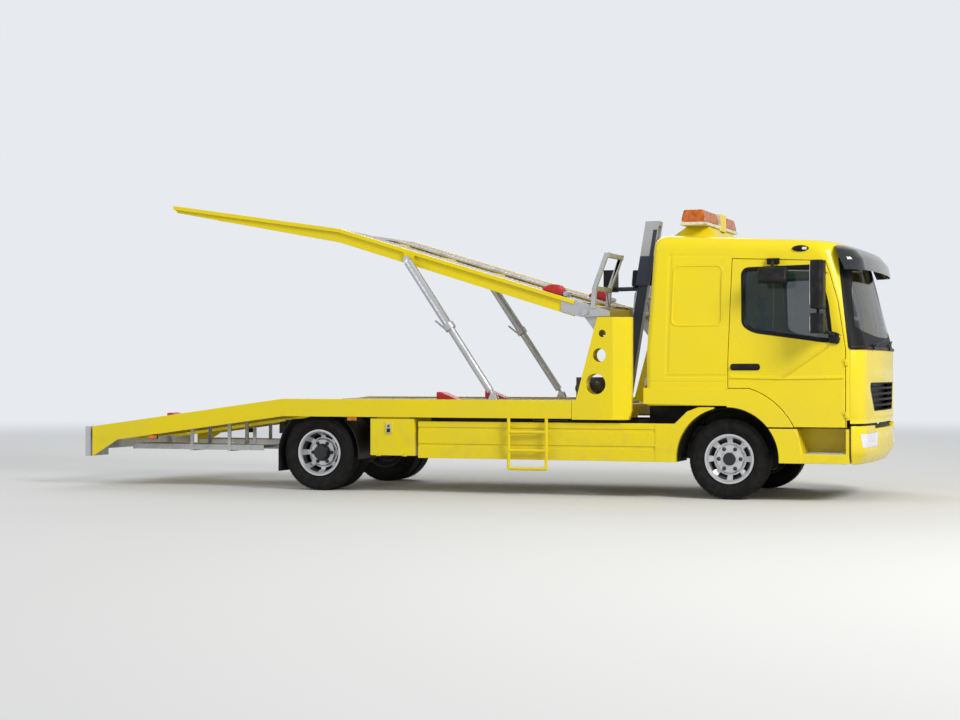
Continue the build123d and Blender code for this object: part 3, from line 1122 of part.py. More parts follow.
def lower_deck_frame():
    """Side rails of folded channel with cross beams and two runners, and the sloping tail joined on at the knee."""
    depth = LOWER_RAIL_DEPTH
    web = [
        (LOWER_FRONT_X, LOWER_DECK_TOP), (LOWER_KNEE_X, LOWER_DECK_TOP), (LOWER_REAR_X, LOWER_REAR_TOP),
        (LOWER_REAR_X, TAIL_BOTTOM_Z), (TAIL_PLATE_X, lower_line(TAIL_PLATE_X, depth)),
        (LOWER_KNEE_X, LOWER_DECK_TOP - depth), (LOWER_FRONT_X, LOWER_DECK_TOP - depth),
    ]
    frame = None
    for y in (-1, 1):
        rail = side_plate(web, y * (DECK_FACE_Y - 10), y * DECK_FACE_Y)
        top = side_plate(lower_strip(LOWER_REAR_X, LOWER_FRONT_X, 0, 10), y * (DECK_FACE_Y - 100), y * DECK_FACE_Y)
        low = side_plate(lower_strip(TAIL_PLATE_X, LOWER_FRONT_X, depth - 10, depth), y * (DECK_FACE_Y - 60), y * DECK_FACE_Y)
        runner = side_plate(lower_strip(LOWER_REAR_X + 120, LOWER_FRONT_X + 450, 60, depth), y * (LOWER_BEAM_Y - 30), y * (LOWER_BEAM_Y + 30))
        frame = rail if frame is None else frame + rail
        frame = frame + top + low + runner
    reach = DECK_FACE_Y - 10
    for x in LOWER_CROSS:
        top = lower_line(x - 30, LOWER_FLOOR_BELOW + FLOOR_FOLD + SEAT_GAP)
        frame = frame + block(x - 30, x + 30, -reach, reach, lower_line(x, 120), top)
    head = block(TOWER_REAR_FOOT_X + 60, TOWER_FRONT_FOOT_X - 60, -(DECK_FACE_Y - TOWER_DEPTH_Y - 0.3),
                 DECK_FACE_Y - TOWER_DEPTH_Y - 0.3, LOWER_DECK_TOP - 150, LOWER_DECK_TOP - 40)
    frame = frame + head
    tail = side_plate(
        [(LOWER_REAR_X, lower_line(LOWER_REAR_X, 26)), (LOWER_REAR_X + 120, lower_line(LOWER_REAR_X + 120, 26)),
         (LOWER_REAR_X + 120, lower_line(LOWER_REAR_X + 120, 120)), (LOWER_REAR_X, lower_line(LOWER_REAR_X, 150))], -reach, reach)
    joint = block(LOWER_KNEE_X - SEAT_GAP, LOWER_KNEE_X, -DECK_FACE_Y - 1, DECK_FACE_Y + 1, 0, LOWER_DECK_TOP + 1)
    return (frame + tail - joint).solids()


def lower_deck_floor():
    """Two wheel tracks of ribbed plate, each with its edges folded down."""
    tracks = []
    top = LOWER_FLOOR_BELOW
    low = top + FLOOR_FOLD
    # columns: rear X and front X of each length of plate, and how far its folds stop short of its rear end
    lengths = [
        (FLOOR_JOINT_X + SEAT_GAP, LOWER_FRONT_X, 0), (LOWER_KNEE_X + SEAT_GAP, FLOOR_JOINT_X - SEAT_GAP, 0),
        (LOWER_REAR_X + 4, LOWER_KNEE_X - SEAT_GAP, 121),
    ]
    for rear_x, front_x, short in lengths:
        for y in (-1, 1):
            plate = side_plate(lower_strip(rear_x, front_x, top, top + PLATE), y * TRACK_INNER_Y, y * TRACK_OUTER_Y)
            fold = lower_strip(rear_x + short, front_x, top, low)
            fold_in = side_plate(fold, y * TRACK_INNER_Y, y * (TRACK_INNER_Y + PLATE))
            fold_out = side_plate(fold, y * (TRACK_OUTER_Y - PLATE), y * TRACK_OUTER_Y)
            tracks.append(plate + fold_in + fold_out)
    return tracks


def tower(side):
    """A folded steel tower: a tapering side plate with three holes and a chamfered front."""
    y_out = side * DECK_FACE_Y
    y_in = side * (DECK_FACE_Y - TOWER_DEPTH_Y)
    outline_points = [
        (TOWER_REAR_FOOT_X, TOWER_FOOT_Z), (TOWER_FRONT_FOOT_X, TOWER_FOOT_Z), (TOWER_FRONT_TOP_X, 830),
        (TOWER_FRONT_TOP_X, TOWER_TOP_Z), (TOWER_REAR_TOP_X, TOWER_TOP_Z), (TOWER_REAR_FOOT_X + 40, LOWER_DECK_TOP + 2),
        (TOWER_REAR_FOOT_X, LOWER_DECK_TOP + 2),
    ]
    body = side_plate(outline_points, y_in, y_out)
    chamfer_cut = side_chamfer(side)
    body = body - chamfer_cut
    cavity = side_plate(
        [(TOWER_REAR_FOOT_X + 70, TOWER_FOOT_Z - 1), (TOWER_FRONT_FOOT_X - 130, TOWER_FOOT_Z - 1),
         (TOWER_FRONT_TOP_X - 120, 860), (TOWER_FRONT_TOP_X - 120, TOWER_TOP_Z - 12), (TOWER_REAR_TOP_X + 20, TOWER_TOP_Z - 12)],
        side * (DECK_FACE_Y - 12), side * (DECK_FACE_Y - TOWER_DEPTH_Y + 12))
    body = body - (cavity - side_chamfer(side, 16))
    for x, z, radius in TOWER_HOLES:
        body = body - rod_y(x, z, y_in - side * 5, y_out + side * 5, radius)
    foot = block(TOWER_REAR_FOOT_X + 20, TOWER_FRONT_FOOT_X - 20, side * (DECK_FACE_Y - TOWER_DEPTH_Y + 2),
                 side * (DECK_FACE_Y - 2), TOWER_FOOT_Z, TOWER_FOOT_Z + 12)
    return body + foot


def side_chamfer(side, wall=0):
    """The wedge taken off the tower's outer front corner, deeper by a wall's thickness."""
    y_out = DECK_FACE_Y
    front_x = TOWER_FRONT_TOP_X + 10
    points = [(TOWER_FRONT_TOP_X - 165 - 2 * wall, y_out + 1), (front_x, y_out + 1), (front_x, y_out - 95 - wall)]
    if side == RIGHT:
        points = [(x, -y) for x, y in points]
    return plan_plate(points, TOWER_FOOT_Z - 10, TOWER_TOP_Z + 10)


def hinge_brackets():
    """Plates inside the tower heads that reach back to the upper deck's hinge pins."""
    parts = []
    x = UPPER_HINGE_X
    z = UPPER_HINGE_Z
    for side in (RIGHT, LEFT):
        y_out = side * (DECK_FACE_Y - TOWER_DEPTH_Y - SEAT_GAP)
        y_in = side * (DECK_FACE_Y - TOWER_DEPTH_Y - HINGE_PLATE)
        plate = side_plate(
            [(x - 45, z - 10), (x - 20, z + 42), (x + 35, z + 30), (TOWER_REAR_TOP_X, TOWER_TOP_Z - 40),
             (TOWER_REAR_TOP_X + 60, TOWER_TOP_Z - 40), (TOWER_REAR_TOP_X + 60, TOWER_TOP_Z - 170),
             (TOWER_REAR_TOP_X - 38, TOWER_TOP_Z - 170), (x - 20, z - 45)], y_in, y_out)
        pin = rod_y(x, z, y_in, side * (STOP_PLATE_Y + HINGE_PLATE + 22), UPPER_HINGE_PIN / 2)
        head = rod_y(x, z, side * (STOP_PLATE_Y + HINGE_PLATE + 6), side * (STOP_PLATE_Y + HINGE_PLATE + 22), 32)
        parts.append(plate + pin + head)
    return parts


def mast_x(z):
    """The mast leans forward: X of its centre line at height Z."""
    return MAST_LEAN_X + (z - MAST_LEAN_Z) * (MAST_TOP_X - MAST_LEAN_X) / (MAST_TOP_Z - MAST_LEAN_Z)


def lift_mast():
    """A leaning mast: dark square column, slotted galvanised head, cross bar and work lamp."""
    def strip(z0, z1, half_x, y0, y1):
        return side_plate([(mast_x(z0) - half_x, z0), (mast_x(z0) + half_x, z0), (mast_x(z1) + half_x, z1), (mast_x(z1) - half_x, z1)], y0, y1)

    foot_z = LOWER_DECK_TOP - 40
    column = strip(foot_z, MAST_HEAD_Z, 50, -MAST_HALF, MAST_HALF)
    base = block(mast_x(foot_z) - 110, mast_x(foot_z) + 110, -120, 120, foot_z, foot_z + 20)
    cheeks = strip(MAST_HEAD_Z - 150, MAST_TOP_Z, 70, -85, -MAST_HALF - 0.3) + strip(MAST_HEAD_Z - 150, MAST_TOP_Z, 70, MAST_HALF + 0.3, 85)
    cap = strip(MAST_TOP_Z - 45, MAST_TOP_Z, 70, -85, 85)
    link = strip(MAST_HEAD_Z - 40, MAST_HEAD_Z, 45, -85, 85)
    bar_z = MAST_BAR_Z
    bar = rod((mast_x(bar_z) - 40, 0, bar_z), (mast_x(bar_z) - 330, 0, bar_z - 4), 22)
    lamp = block(mast_x(bar_z) - 400, mast_x(bar_z) - 290, -90, 90, bar_z - 30, bar_z + 190)
    return [column + base + cheeks + cap + link + bar + lamp]


def winch():
    """A drum winch between side plates, on the head beam of the lower deck."""
    x = WINCH_X
    z = LOWER_DECK_TOP + 110
    foot = lower_line(x, LOWER_FLOOR_BELOW + FLOOR_FOLD)
    base = block(x - 110, x + 110, -400, 330, foot, foot + 18)
    cheeks = block(x - 100, x + 100, -270, -250, foot + 16, z + 110) + block(x - 100, x + 100, 180, 200, foot + 16, z + 110)
    drum = rod_y(x, z, -255, 185, 70)
    flanges = rod_y(x, z, -248, -236, 104) + rod_y(x, z, 166, 178, 104)
    motor = rod_y(x, z, -420, -262, 66)
    case = rod_y(x, z, 195, 320, 92)
    return base + cheeks + drum + flanges + motor + case


def rear_light_bar():
    """An underrun beam with a lamp cluster at each end, on arms from the tail beam."""
    x = LOWER_REAR_X - 100
    bar = block(x, x + 60, -1080, 1080, 380, 480)
    parts = bar
    for y in (-1, 1):
        parts = parts + block(x - 4, x + 60, y * 760, y * 1120, 312, 626)
        arm = block(x + 50, LOWER_REAR_X - 0.3, y * 560, y * 620, 400, 590)
        parts = parts + arm
    return parts


def tow_jaw():
    """A drop-nosed coupling jaw with an upright pin hole, bolted to the light beam."""
    x = LOWER_REAR_X - 100
    plate = block(x - 20, x - 0.3, -110, 110, 350, 510)
    body = block(x - 100, x - 19, -70, 70, 385, 475)
    slot = block(x - 101, x - 40, -71, 71, 415, 445)
    jaw = body + plate - slot
    return jaw - rod((x - 72, 0, 380), (x - 72, 0, 480), COUPLING_BORE / 2)


def loading_ramps():
    """A pair of galvanised ramps stowed flat under the tail, in upright holder plates."""
    parts = []
    for side in (RIGHT, LEFT):
        y0 = side * (RAMP_Y - 200)
        y1 = side * (RAMP_Y + 200)
        z = RAMP_Z
        deck = block(-3700, -2160, y0, y1, z, z + 6)
        edge_a = block(-3700, -2160, y0, y0 + side * 8, z - 50, z + 6)
        edge_b = block(-3700, -2160, y1 - side * 8, y1, z - 50, z + 6)
        ramp = deck + edge_a + edge_b
        for k in range(9):
            x = -3640 + k * 175
            ramp = ramp + block(x - 6, x + 6, y0, y1, z - 30, z + 2)
        for x in RAMP_HOLDERS:
            under = lower_line(x, 120) - SEAT_GAP
            holder = block(x - 20, x + 20, y1 - side * 9, y1 + side * 6, z - 50, under)
            holder = holder + block(x - 20, x + 20, y0 - side * 6, y0 + side * 9, z - 50, under)
            holder = holder + block(x - 20, x + 20, y0 - side * 6, y1 + side * 6, z - 62, z - 49)
            holder = holder + block(x - 20, x + 20, y0 - side * 6, y1 + side * 6, under - 14, under)
            ramp = ramp + holder
        parts.append(ramp)
    return parts


def chock(x, y, line, angle, length, height):
    """A wheel chock: a wedge with a rounded back, set on a deck's slope."""
    wedge = side_plate([(-length / 2, 0), (length / 2, 0), (-length / 2 + 40, height), (-length / 2, height)], -90, 90, 8)
    return Pos(x, y, line) * Rot(0, angle, 0) * wedge


# Upper deck: tilting bed


def upper_line(x, below=0):
    """Height of the upper deck's top line at X, minus an offset."""
    if x >= UPPER_KNEE_X:
        share = (UPPER_FRONT_X - x) / (UPPER_FRONT_X - UPPER_KNEE_X)
        return UPPER_FRONT_TOP + (UPPER_KNEE_TOP - UPPER_FRONT_TOP) * share - below
    share = (UPPER_KNEE_X - x) / (UPPER_KNEE_X - UPPER_REAR_X)
    return UPPER_KNEE_TOP + (UPPER_REAR_TOP - UPPER_KNEE_TOP) * share - below


def upper_strip(x_rear, x_front, top, bottom_front, bottom_knee, bottom_rear):
    """Outline of a strip along the upper deck, of its own depth at front, knee and rear."""
    return [
        (x_front, upper_line(x_front, top)), (UPPER_KNEE_X, upper_line(UPPER_KNEE_X, top)), (x_rear, upper_line(x_rear, top)),
        (x_rear, upper_line(x_rear, bottom_rear)), (UPPER_KNEE_X, upper_line(UPPER_KNEE_X, bottom_knee)),
        (x_front, upper_line(x_front, bottom_front)),
    ]


def upper_deck_frame():
    """Side rails with a bright lip over an inset beam, cross beams and hinge ears."""
    frame = None
    for y in (-1, 1):
        lip = side_plate(upper_strip(UPPER_REAR_X, UPPER_FRONT_X, 0, UPPER_LIP, UPPER_LIP, UPPER_LIP),
                         y * (UPPER_FACE_Y - UPPER_LIP_WIDTH), y * UPPER_FACE_Y)
        beam = side_plate(upper_strip(UPPER_REAR_X + 30, UPPER_FRONT_X, UPPER_LIP - 1, UPPER_DEPTH_FRONT, UPPER_DEPTH_KNEE, UPPER_DEPTH_REAR),
                          y * (UPPER_FACE_Y - 48), y * (UPPER_FACE_Y - UPPER_BEAM_INSET))
        frame = lip + beam if frame is None else frame + lip + beam
        eye = side_plate(
            [(PROP_TOP_X - 60, upper_line(PROP_TOP_X - 60, UPPER_LIP - 2)), (PROP_TOP_X + 60, upper_line(PROP_TOP_X + 60, UPPER_LIP - 2)),
             (PROP_TOP_X + 30, PROP_TOP_Z - 45), (PROP_TOP_X - 30, PROP_TOP_Z - 45)],
            y * (UPPER_FACE_Y - 30), y * UPPER_FACE_Y)
        frame = frame + eye
    reach = UPPER_FACE_Y - 40
    for x in UPPER_CROSS:
        depth = 110 if x > UPPER_KNEE_X else 84
        top = upper_line(x + 25, UPPER_FLOOR_BELOW + FLOOR_FOLD + SEAT_GAP)
        beam = block(x - 25, x + 25, -reach, reach, upper_line(x, depth), top)
        frame = frame + beam
    front_beam = side_plate(
        [(UPPER_FRONT_X, upper_line(UPPER_FRONT_X, 36)), (UPPER_FRONT_X - 60, upper_line(UPPER_FRONT_X - 60, 36)),
         (UPPER_FRONT_X - 60, upper_line(UPPER_FRONT_X - 60, 150)), (UPPER_FRONT_X, upper_line(UPPER_FRONT_X, 150))], -reach, reach)
    tail_beam = side_plate(
        [(UPPER_REAR_X, upper_line(UPPER_REAR_X, 8)), (UPPER_REAR_X + 40, upper_line(UPPER_REAR_X + 40, 8)),
         (UPPER_REAR_X + 40, upper_line(UPPER_REAR_X + 40, 60)), (UPPER_REAR_X, upper_line(UPPER_REAR_X, 40))], -reach, reach)
    return frame + front_beam + tail_beam


def upper_deck_floor():
    """Two perforated tracks laid between the lips, with their edges folded down."""
    tracks = []
    y_out = UPPER_FACE_Y - UPPER_LIP_WIDTH - 1
    top = UPPER_FLOOR_BELOW
    low = top + FLOOR_FOLD
    for rear_x, front_x in ((UPPER_KNEE_X + SEAT_GAP, UPPER_FRONT_X), (UPPER_REAR_X + 41, UPPER_KNEE_X - SEAT_GAP)):
        for y in (-1, 1):
            plate = side_plate(sloped(rear_x, front_x, top, top + PLATE), y * TRACK_INNER_Y, y * y_out)
            fold = sloped(rear_x, front_x, top, low)
            fold_in = side_plate(fold, y * TRACK_INNER_Y, y * (TRACK_INNER_Y + PLATE))
            fold_out = side_plate(fold, y * (y_out - PLATE), y * y_out)
            tracks.append(plate + fold_in + fold_out)
    return tracks


def sloped(rear_x, front_x, top, bottom):
    """Outline of a straight strip on one slope of the upper deck."""
    return [
        (front_x, upper_line(front_x, top)), (rear_x, upper_line(rear_x, top)), (rear_x, upper_line(rear_x, bottom)),
        (front_x, upper_line(front_x, bottom)),
    ]


def wheel_stops():
    """Galvanised nose plates of the upper deck, each with the hoop that stops a front wheel."""
    parts = []
    clear_z = TOWER_TOP_Z + 11
    x = UPPER_FRONT_X
    base_z = upper_line(STOP_BASE_X, STOP_BAR)
    for side in (RIGHT, LEFT):
        y_in = side * STOP_PLATE_Y
        y_out = side * (STOP_PLATE_Y + HINGE_PLATE)
        plate = side_plate(
            [(x - 130, upper_line(x - 130, UPPER_LIP + SEAT_GAP)), (x + SEAT_GAP, upper_line(x, UPPER_LIP + SEAT_GAP)),
             (x + SEAT_GAP, upper_line(x, 0)), (STOP_FRONT_X, upper_line(STOP_FRONT_X, 0)), (STOP_FRONT_X, clear_z),
             (TOWER_REAR_TOP_X - 20, clear_z), (UPPER_HINGE_X - 30, UPPER_HINGE_Z - 50), (x - 130, upper_line(x - 130, 150))],
            y_in, y_out)
        plate = plate - rod_y(UPPER_HINGE_X, UPPER_HINGE_Z, y_in - side, y_out + side, UPPER_HINGE_PIN / 2 + PIN_CLEARANCE)
        stop = plate
        for y in (side * (STOP_PLATE_Y + HINGE_PLATE / 2), side * STOP_INNER_Y):
            knee_y = (y - STOP_BAR, y + STOP_BAR)
            lower = side_plate(
                [(STOP_BASE_X - STOP_BAR, base_z), (STOP_BASE_X + STOP_BAR, base_z), (STOP_KNEE[0] + STOP_BAR, STOP_KNEE[1]),
                 (STOP_TOP[0] + STOP_BAR, STOP_TOP[1]), (STOP_TOP[0] - STOP_BAR, STOP_TOP[1]), (STOP_KNEE[0] - STOP_BAR, STOP_KNEE[1])],
                knee_y[0], knee_y[1])
            stop = stop + lower
        reach = side * (STOP_PLATE_Y + HINGE_PLATE / 2)
        inner = side * STOP_INNER_Y
        half = STOP_BAR
        for cross_x, cross_z in ((STOP_BASE_X, base_z), STOP_KNEE, (STOP_TOP[0], STOP_TOP[1] - half)):
            stop = stop + block(cross_x - half + 1, cross_x + half - 1, inner, reach, cross_z - half, cross_z + half - 1)
        parts.append(stop)
    return parts


# Props: telescopic struts between the decks


def prop_axis():
    foot = Vector(PROP_FOOT_X, -PROP_Y, PROP_FOOT_Z)
    top = Vector(PROP_TOP_X, -PROP_Y, PROP_TOP_Z)
    return foot, top, (top - foot).normalized(), (top - foot).length


def prop_lower(side):
    """The inner tube, pinned at its foot on the lower deck's rail."""
    foot, top, along, length = prop_axis()
    tube = rod(foot + along * 62, foot + along * PROP_LOWER_TOP, PROP_LOWER_DIAMETER / 2)
    neck = rod(foot + along * 10, foot + along * 64, 17)
    eye = rod_y(PROP_FOOT_X, PROP_FOOT_Z, -PROP_Y - 18, -PROP_Y + 18, 26)
    leg = tube + neck + eye
    leg = leg - rod_y(PROP_FOOT_X, PROP_FOOT_Z, -PROP_Y - 30, -PROP_Y + 30, PROP_PIN / 2 + PIN_CLEARANCE)
    return sided(leg, side)


def prop_upper(side):
    """The outer tube with its collar and lever, and a head plate beside the deck's lug."""
    foot, top, along, length = prop_axis()
    a = foot + along * PROP_COLLAR_FROM_FOOT
    b = foot + along * (length - 40)
    tube = ring(a, b, PROP_UPPER_DIAMETER / 2, PROP_UPPER_BORE / 2)
    cap = rod(foot + along * (length - 60), foot + along * (length - 30), PROP_UPPER_DIAMETER / 2)
    collar_end = foot + along * (PROP_COLLAR_FROM_FOOT + 60)
    collar = ring(a, collar_end, PROP_UPPER_DIAMETER / 2 + 12, PROP_UPPER_BORE / 2)
    lever_root = foot + along * (PROP_COLLAR_FROM_FOOT + 30)
    lever = rod((lever_root.X - 46, -PROP_Y, lever_root.Z - 20), (lever_root.X - 150, -PROP_Y, lever_root.Z + 60), 10)
    head = rod_y(PROP_TOP_X, PROP_TOP_Z, -PROP_Y - 18, -PROP_Y + 18, 36)
    neck = rod(foot + along * (length - 45), foot + along * length, 17)
    return sided(tube + cap + collar + lever + head + neck, side)


def prop_feet():
    """Clevis and pin of each prop on the lower deck's rail."""
    parts = []
    for side in (RIGHT, LEFT):
        cheeks = None
        for y0 in (-PROP_Y - 34, -PROP_Y + 24):
            plate = side_plate(
                [(PROP_FOOT_X - 50, LOWER_DECK_TOP + 0.3), (PROP_FOOT_X + 50, LOWER_DECK_TOP + 0.3), (PROP_FOOT_X + 24, PROP_FOOT_Z + 26),
                 (PROP_FOOT_X - 24, PROP_FOOT_Z + 26)], y0, y0 + 10)
            cheeks = plate if cheeks is None else cheeks + plate
        pin = rod_y(PROP_FOOT_X, PROP_FOOT_Z, -PROP_Y - 36, -PROP_Y + 34, PROP_PIN / 2)
        parts.append(sided(cheeks + pin, side))
    return parts


def main():
    os.makedirs("parts", exist_ok=True)
    save("chassis_frame", chassis_frame())
    save("front_axle_beam", front_axle_beam())
    save("rear_axle", rear_axle())
    save("leaf_springs", springs())
    save("engine", engine())
    save("tanks", tanks())
    save("front_bumper", front_bumper())
    save("headlights", headlights())
    save("cab_steps", [cab_steps(RIGHT), cab_steps(LEFT)])
    save("side_skirts", [side_skirt(RIGHT), side_skirt(LEFT)])
    save("toolboxes", [toolbox(RIGHT), toolbox(LEFT)])
    save("toolbox_door_right", toolbox_door(RIGHT))
    save("toolbox_door_left", toolbox_door(LEFT))
    save("ladder", ladder())
    liners = [front_mudguard(RIGHT), front_mudguard(LEFT)]
    save("rear_mudguards", rear_mudguards(RIGHT) + rear_mudguards(LEFT) + liners)
    save("lower_deck_frame", lower_deck_frame())
    save("lower_deck_floor", lower_deck_floor())
    save("towers", [tower(RIGHT), tower(LEFT)])
    save("hinge_brackets", hinge_brackets())
    save("lift_mast", lift_mast())
    save("winch", winch())
    save("rear_light_bar", rear_light_bar())
    save("tow_jaw", tow_jaw())
    save("loading_ramps", loading_ramps())
    save("prop_feet", prop_feet())

    shell, panel, pane, doors, panes = cab_parts()
    panel, insert = grille(panel)
    save("cab_shell", shell)
    save("front_panel", panel)
    save("grille", insert)
    save("windscreen", pane)
    save("sun_visor", sun_visor())
    pedestal, base, lens = beacon()
    save("beacon_pedestal", pedestal)
    save("beacon_base", base)
    save("beacon_lenses", lens)
    save("seats", [seat(540), seat(-540)])
    save("dashboard", dashboard())
    save("steering_wheel", steering_wheel())
    for side, word in ((RIGHT, "right"), (LEFT, "left")):
        save("door_" + word, doors[side])
        save("door_glass_" + word, panes[side])
        save("mirrors_" + word, mirror_set(side))
        save("knuckle_" + word, knuckle(side))
        rim, rubber = front_wheel(side)
        save("rim_front_" + word, rim)
        save("tyre_front_" + word, rubber)
        rim, rubber = rear_wheel(side)
        save("rims_rear_" + word, rim)
        save("tyres_rear_" + word, rubber)
        save("prop_lower_" + word, prop_lower(side))
        save("prop_upper_" + word, prop_upper(side))

    save("upper_deck_frame", upper_deck_frame())
    save("upper_deck_floor", upper_deck_floor())
    save("wheel_stops", wheel_stops())
    chocks = []
    for y in (-720, 720):
        for x, angle, length, height in CHOCKS:
            chocks.append(chock(x, y, lower_line(x, LOWER_FLOOR_BELOW) + SEAT_GAP, angle, length, height))
    save("wheel_chocks", chocks)


main()
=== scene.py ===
import math

import bmesh
import bpy
from mathutils import Matrix, Vector
from mathutils.bvhtree import BVHTree


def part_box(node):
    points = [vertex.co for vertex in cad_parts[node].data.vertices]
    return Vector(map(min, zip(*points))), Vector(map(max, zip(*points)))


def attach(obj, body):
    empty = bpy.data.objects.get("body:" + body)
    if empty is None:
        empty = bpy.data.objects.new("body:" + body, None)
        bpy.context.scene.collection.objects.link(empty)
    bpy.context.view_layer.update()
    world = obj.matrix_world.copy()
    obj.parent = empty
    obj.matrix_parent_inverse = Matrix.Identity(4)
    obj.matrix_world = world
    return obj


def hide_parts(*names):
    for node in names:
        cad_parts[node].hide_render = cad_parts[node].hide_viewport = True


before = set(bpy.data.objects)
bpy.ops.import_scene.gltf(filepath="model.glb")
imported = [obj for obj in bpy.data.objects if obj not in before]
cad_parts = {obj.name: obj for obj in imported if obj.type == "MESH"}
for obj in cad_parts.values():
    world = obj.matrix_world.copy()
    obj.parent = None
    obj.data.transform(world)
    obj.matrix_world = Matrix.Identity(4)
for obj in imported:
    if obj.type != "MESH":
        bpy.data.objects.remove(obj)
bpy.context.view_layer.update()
RIGHT = -1
LEFT = 1
SIDES = (("right", RIGHT), ("left", LEFT))


# Studio: a pale floor that fades into an equally pale background, with soft light from above.
# The camera stands ahead of the rear axle on the truck's right, at eye height, and looks
# across it as the photographer did, closer in.

PALE = (0.80, 0.83, 0.87)
LIGHT_LEVEL = 0.62
FLOOR_REACH = 250
FADE_START = 8.0
FADE_END = 30.0
CAMERA_PLACE = (6.589, -18.105, 1.201)
CAMERA_AIM = (-0.02, 0.0, 1.33)
CAMERA_LENS = 69


def feed(tree, socket, value):
    """Link a socket or set its value. A colour comes without its alpha."""
    if isinstance(value, Value):
        value = value.socket
    if isinstance(value, bpy.types.NodeSocket):
        tree.links.new(value, socket)
    else:
        socket.default_value = (*value, 1) if socket.type == "RGBA" else value


def put(tree, kind, inputs=None, **settings):
    """Add a node, set its settings first, and then feed its sockets."""
    node = tree.nodes.new(kind)
    for key, value in settings.items():
        setattr(node, key, value)
    for key, value in (inputs or {}).items():
        feed(tree, node.inputs[key], value)
    return node


def operator(operation, flipped=False):
    """A method of Value that adds one Math node."""
    return lambda self, other: self.maths(operation, other, flipped)


class Value:
    """A number that changes over a surface: sums and products of it add Math nodes."""

    def __init__(self, tree, socket):
        self.tree = tree
        self.socket = socket

    def maths(self, operation, other=0.0, flipped=False):
        pair = (other, self) if flipped else (self, other)
        node = put(self.tree, "ShaderNodeMath", {0: pair[0], 1: pair[1]}, operation=operation)
        return Value(self.tree, node.outputs[0])

    __add__ = operator("ADD")
    __radd__ = operator("ADD", True)
    __sub__ = operator("SUBTRACT")
    __rsub__ = operator("SUBTRACT", True)
    __mul__ = operator("MULTIPLY")

    def ramp(self, low, high):
        """0 below low, 1 above high and smooth between."""
        node = put(self.tree, "ShaderNodeMapRange", {0: self, 1: low, 2: high, 3: 0.0, 4: 1.0},
                   interpolation_type="SMOOTHSTEP")
        return Value(self.tree, node.outputs[0])


class Finish:
    """One surface finish: a Principled shader whose sockets are filled from Object coordinates."""

    SOCKETS = {"base": "Base Color", "roughness": "Roughness", "metallic": "Metallic", "alpha": "Alpha",
               "coat": "Coat Weight", "coat_roughness": "Coat Roughness", "sheen": "Sheen Weight",
               "specular": "Specular IOR Level", "glow": "Emission Color", "glow_strength": "Emission Strength"}

    def __init__(self, name, **plain):
        self.material = bpy.data.materials.new(name)
        self.material.use_nodes = True
        self.tree = self.material.node_tree
        self.tree.nodes.clear()
        self.shader = put(self.tree, "ShaderNodeBsdfPrincipled")
        self.output = put(self.tree, "ShaderNodeOutputMaterial", {"Surface": self.shader.outputs[0]})
        self.place = put(self.tree, "ShaderNodeTexCoord").outputs["Object"]
        self.fill(**plain)

    def add(self, kind, inputs, out=0, **settings):
        return Value(self.tree, put(self.tree, kind, inputs, **settings).outputs[out])

    def along(self, axis):
        """Distance along X, Y or Z, in metres."""
        return self.add("ShaderNodeSeparateXYZ", {0: self.place}, "XYZ".index(axis))

    def grain(self, size, detail=3.0, stretch=(1, 1, 1)):
        """Noise from 0 to 1 whose blotches are about size metres across."""
        spread = put(self.tree, "ShaderNodeVectorMath", {0: self.place, 1: stretch}, operation="MULTIPLY")
        return self.add("ShaderNodeTexNoise",
                        {"Vector": spread.outputs[0], "Scale": 1 / size, "Detail": detail})

    def tint(self, mask, under, over):
        """One colour where the mask is 0 and the other where it is 1."""
        return self.add("ShaderNodeMix", {0: mask, 6: under, 7: over}, 2, data_type="RGBA")

    def fill(self, **sockets):
        for key, value in sockets.items():
            feed(self.tree, self.shader.inputs[self.SOCKETS[key]], value)
        return self

    def bump(self, height, depth, strength=1.0):
        """Raise the surface by height times depth metres."""
        node = put(self.tree, "ShaderNodeBump", {"Strength": strength, "Distance": depth, "Height": height})
        self.tree.links.new(node.outputs[0], self.shader.inputs["Normal"])
        return self

    def grained(self, size, detail, depth, strength):
        """Raise the surface by fine noise."""
        return self.bump(self.grain(size, detail), depth, strength)


def mesh_of(verts, faces, name="form"):
    mesh = bpy.data.meshes.new(name)
    mesh.from_pydata(verts, [], faces)
    return mesh


def new_piece(name, mesh, material=None):
    """Link a mesh into the scene as an object at the origin."""
    piece = bpy.data.objects.new(name, mesh)
    bpy.context.scene.collection.objects.link(piece)
    if material:
        mesh.materials.clear()
        mesh.materials.append(material)
    return piece


def ray_is(tree, kind, other):
    """1 where the ray is of one of two kinds."""
    rays = put(tree, "ShaderNodeLightPath").outputs
    return Value(tree, rays[kind]).maths("MAXIMUM", Value(tree, rays[other]))


def look_from(name, data, place, aim):
    """Put a lamp or camera at a place, looking at another."""
    holder = bpy.data.objects.new(name, data)
    holder.location = place
    holder.rotation_euler = (Vector(aim) - Vector(place)).to_track_quat("-Z", "Y").to_euler()
    bpy.context.scene.collection.objects.link(holder)
    return holder


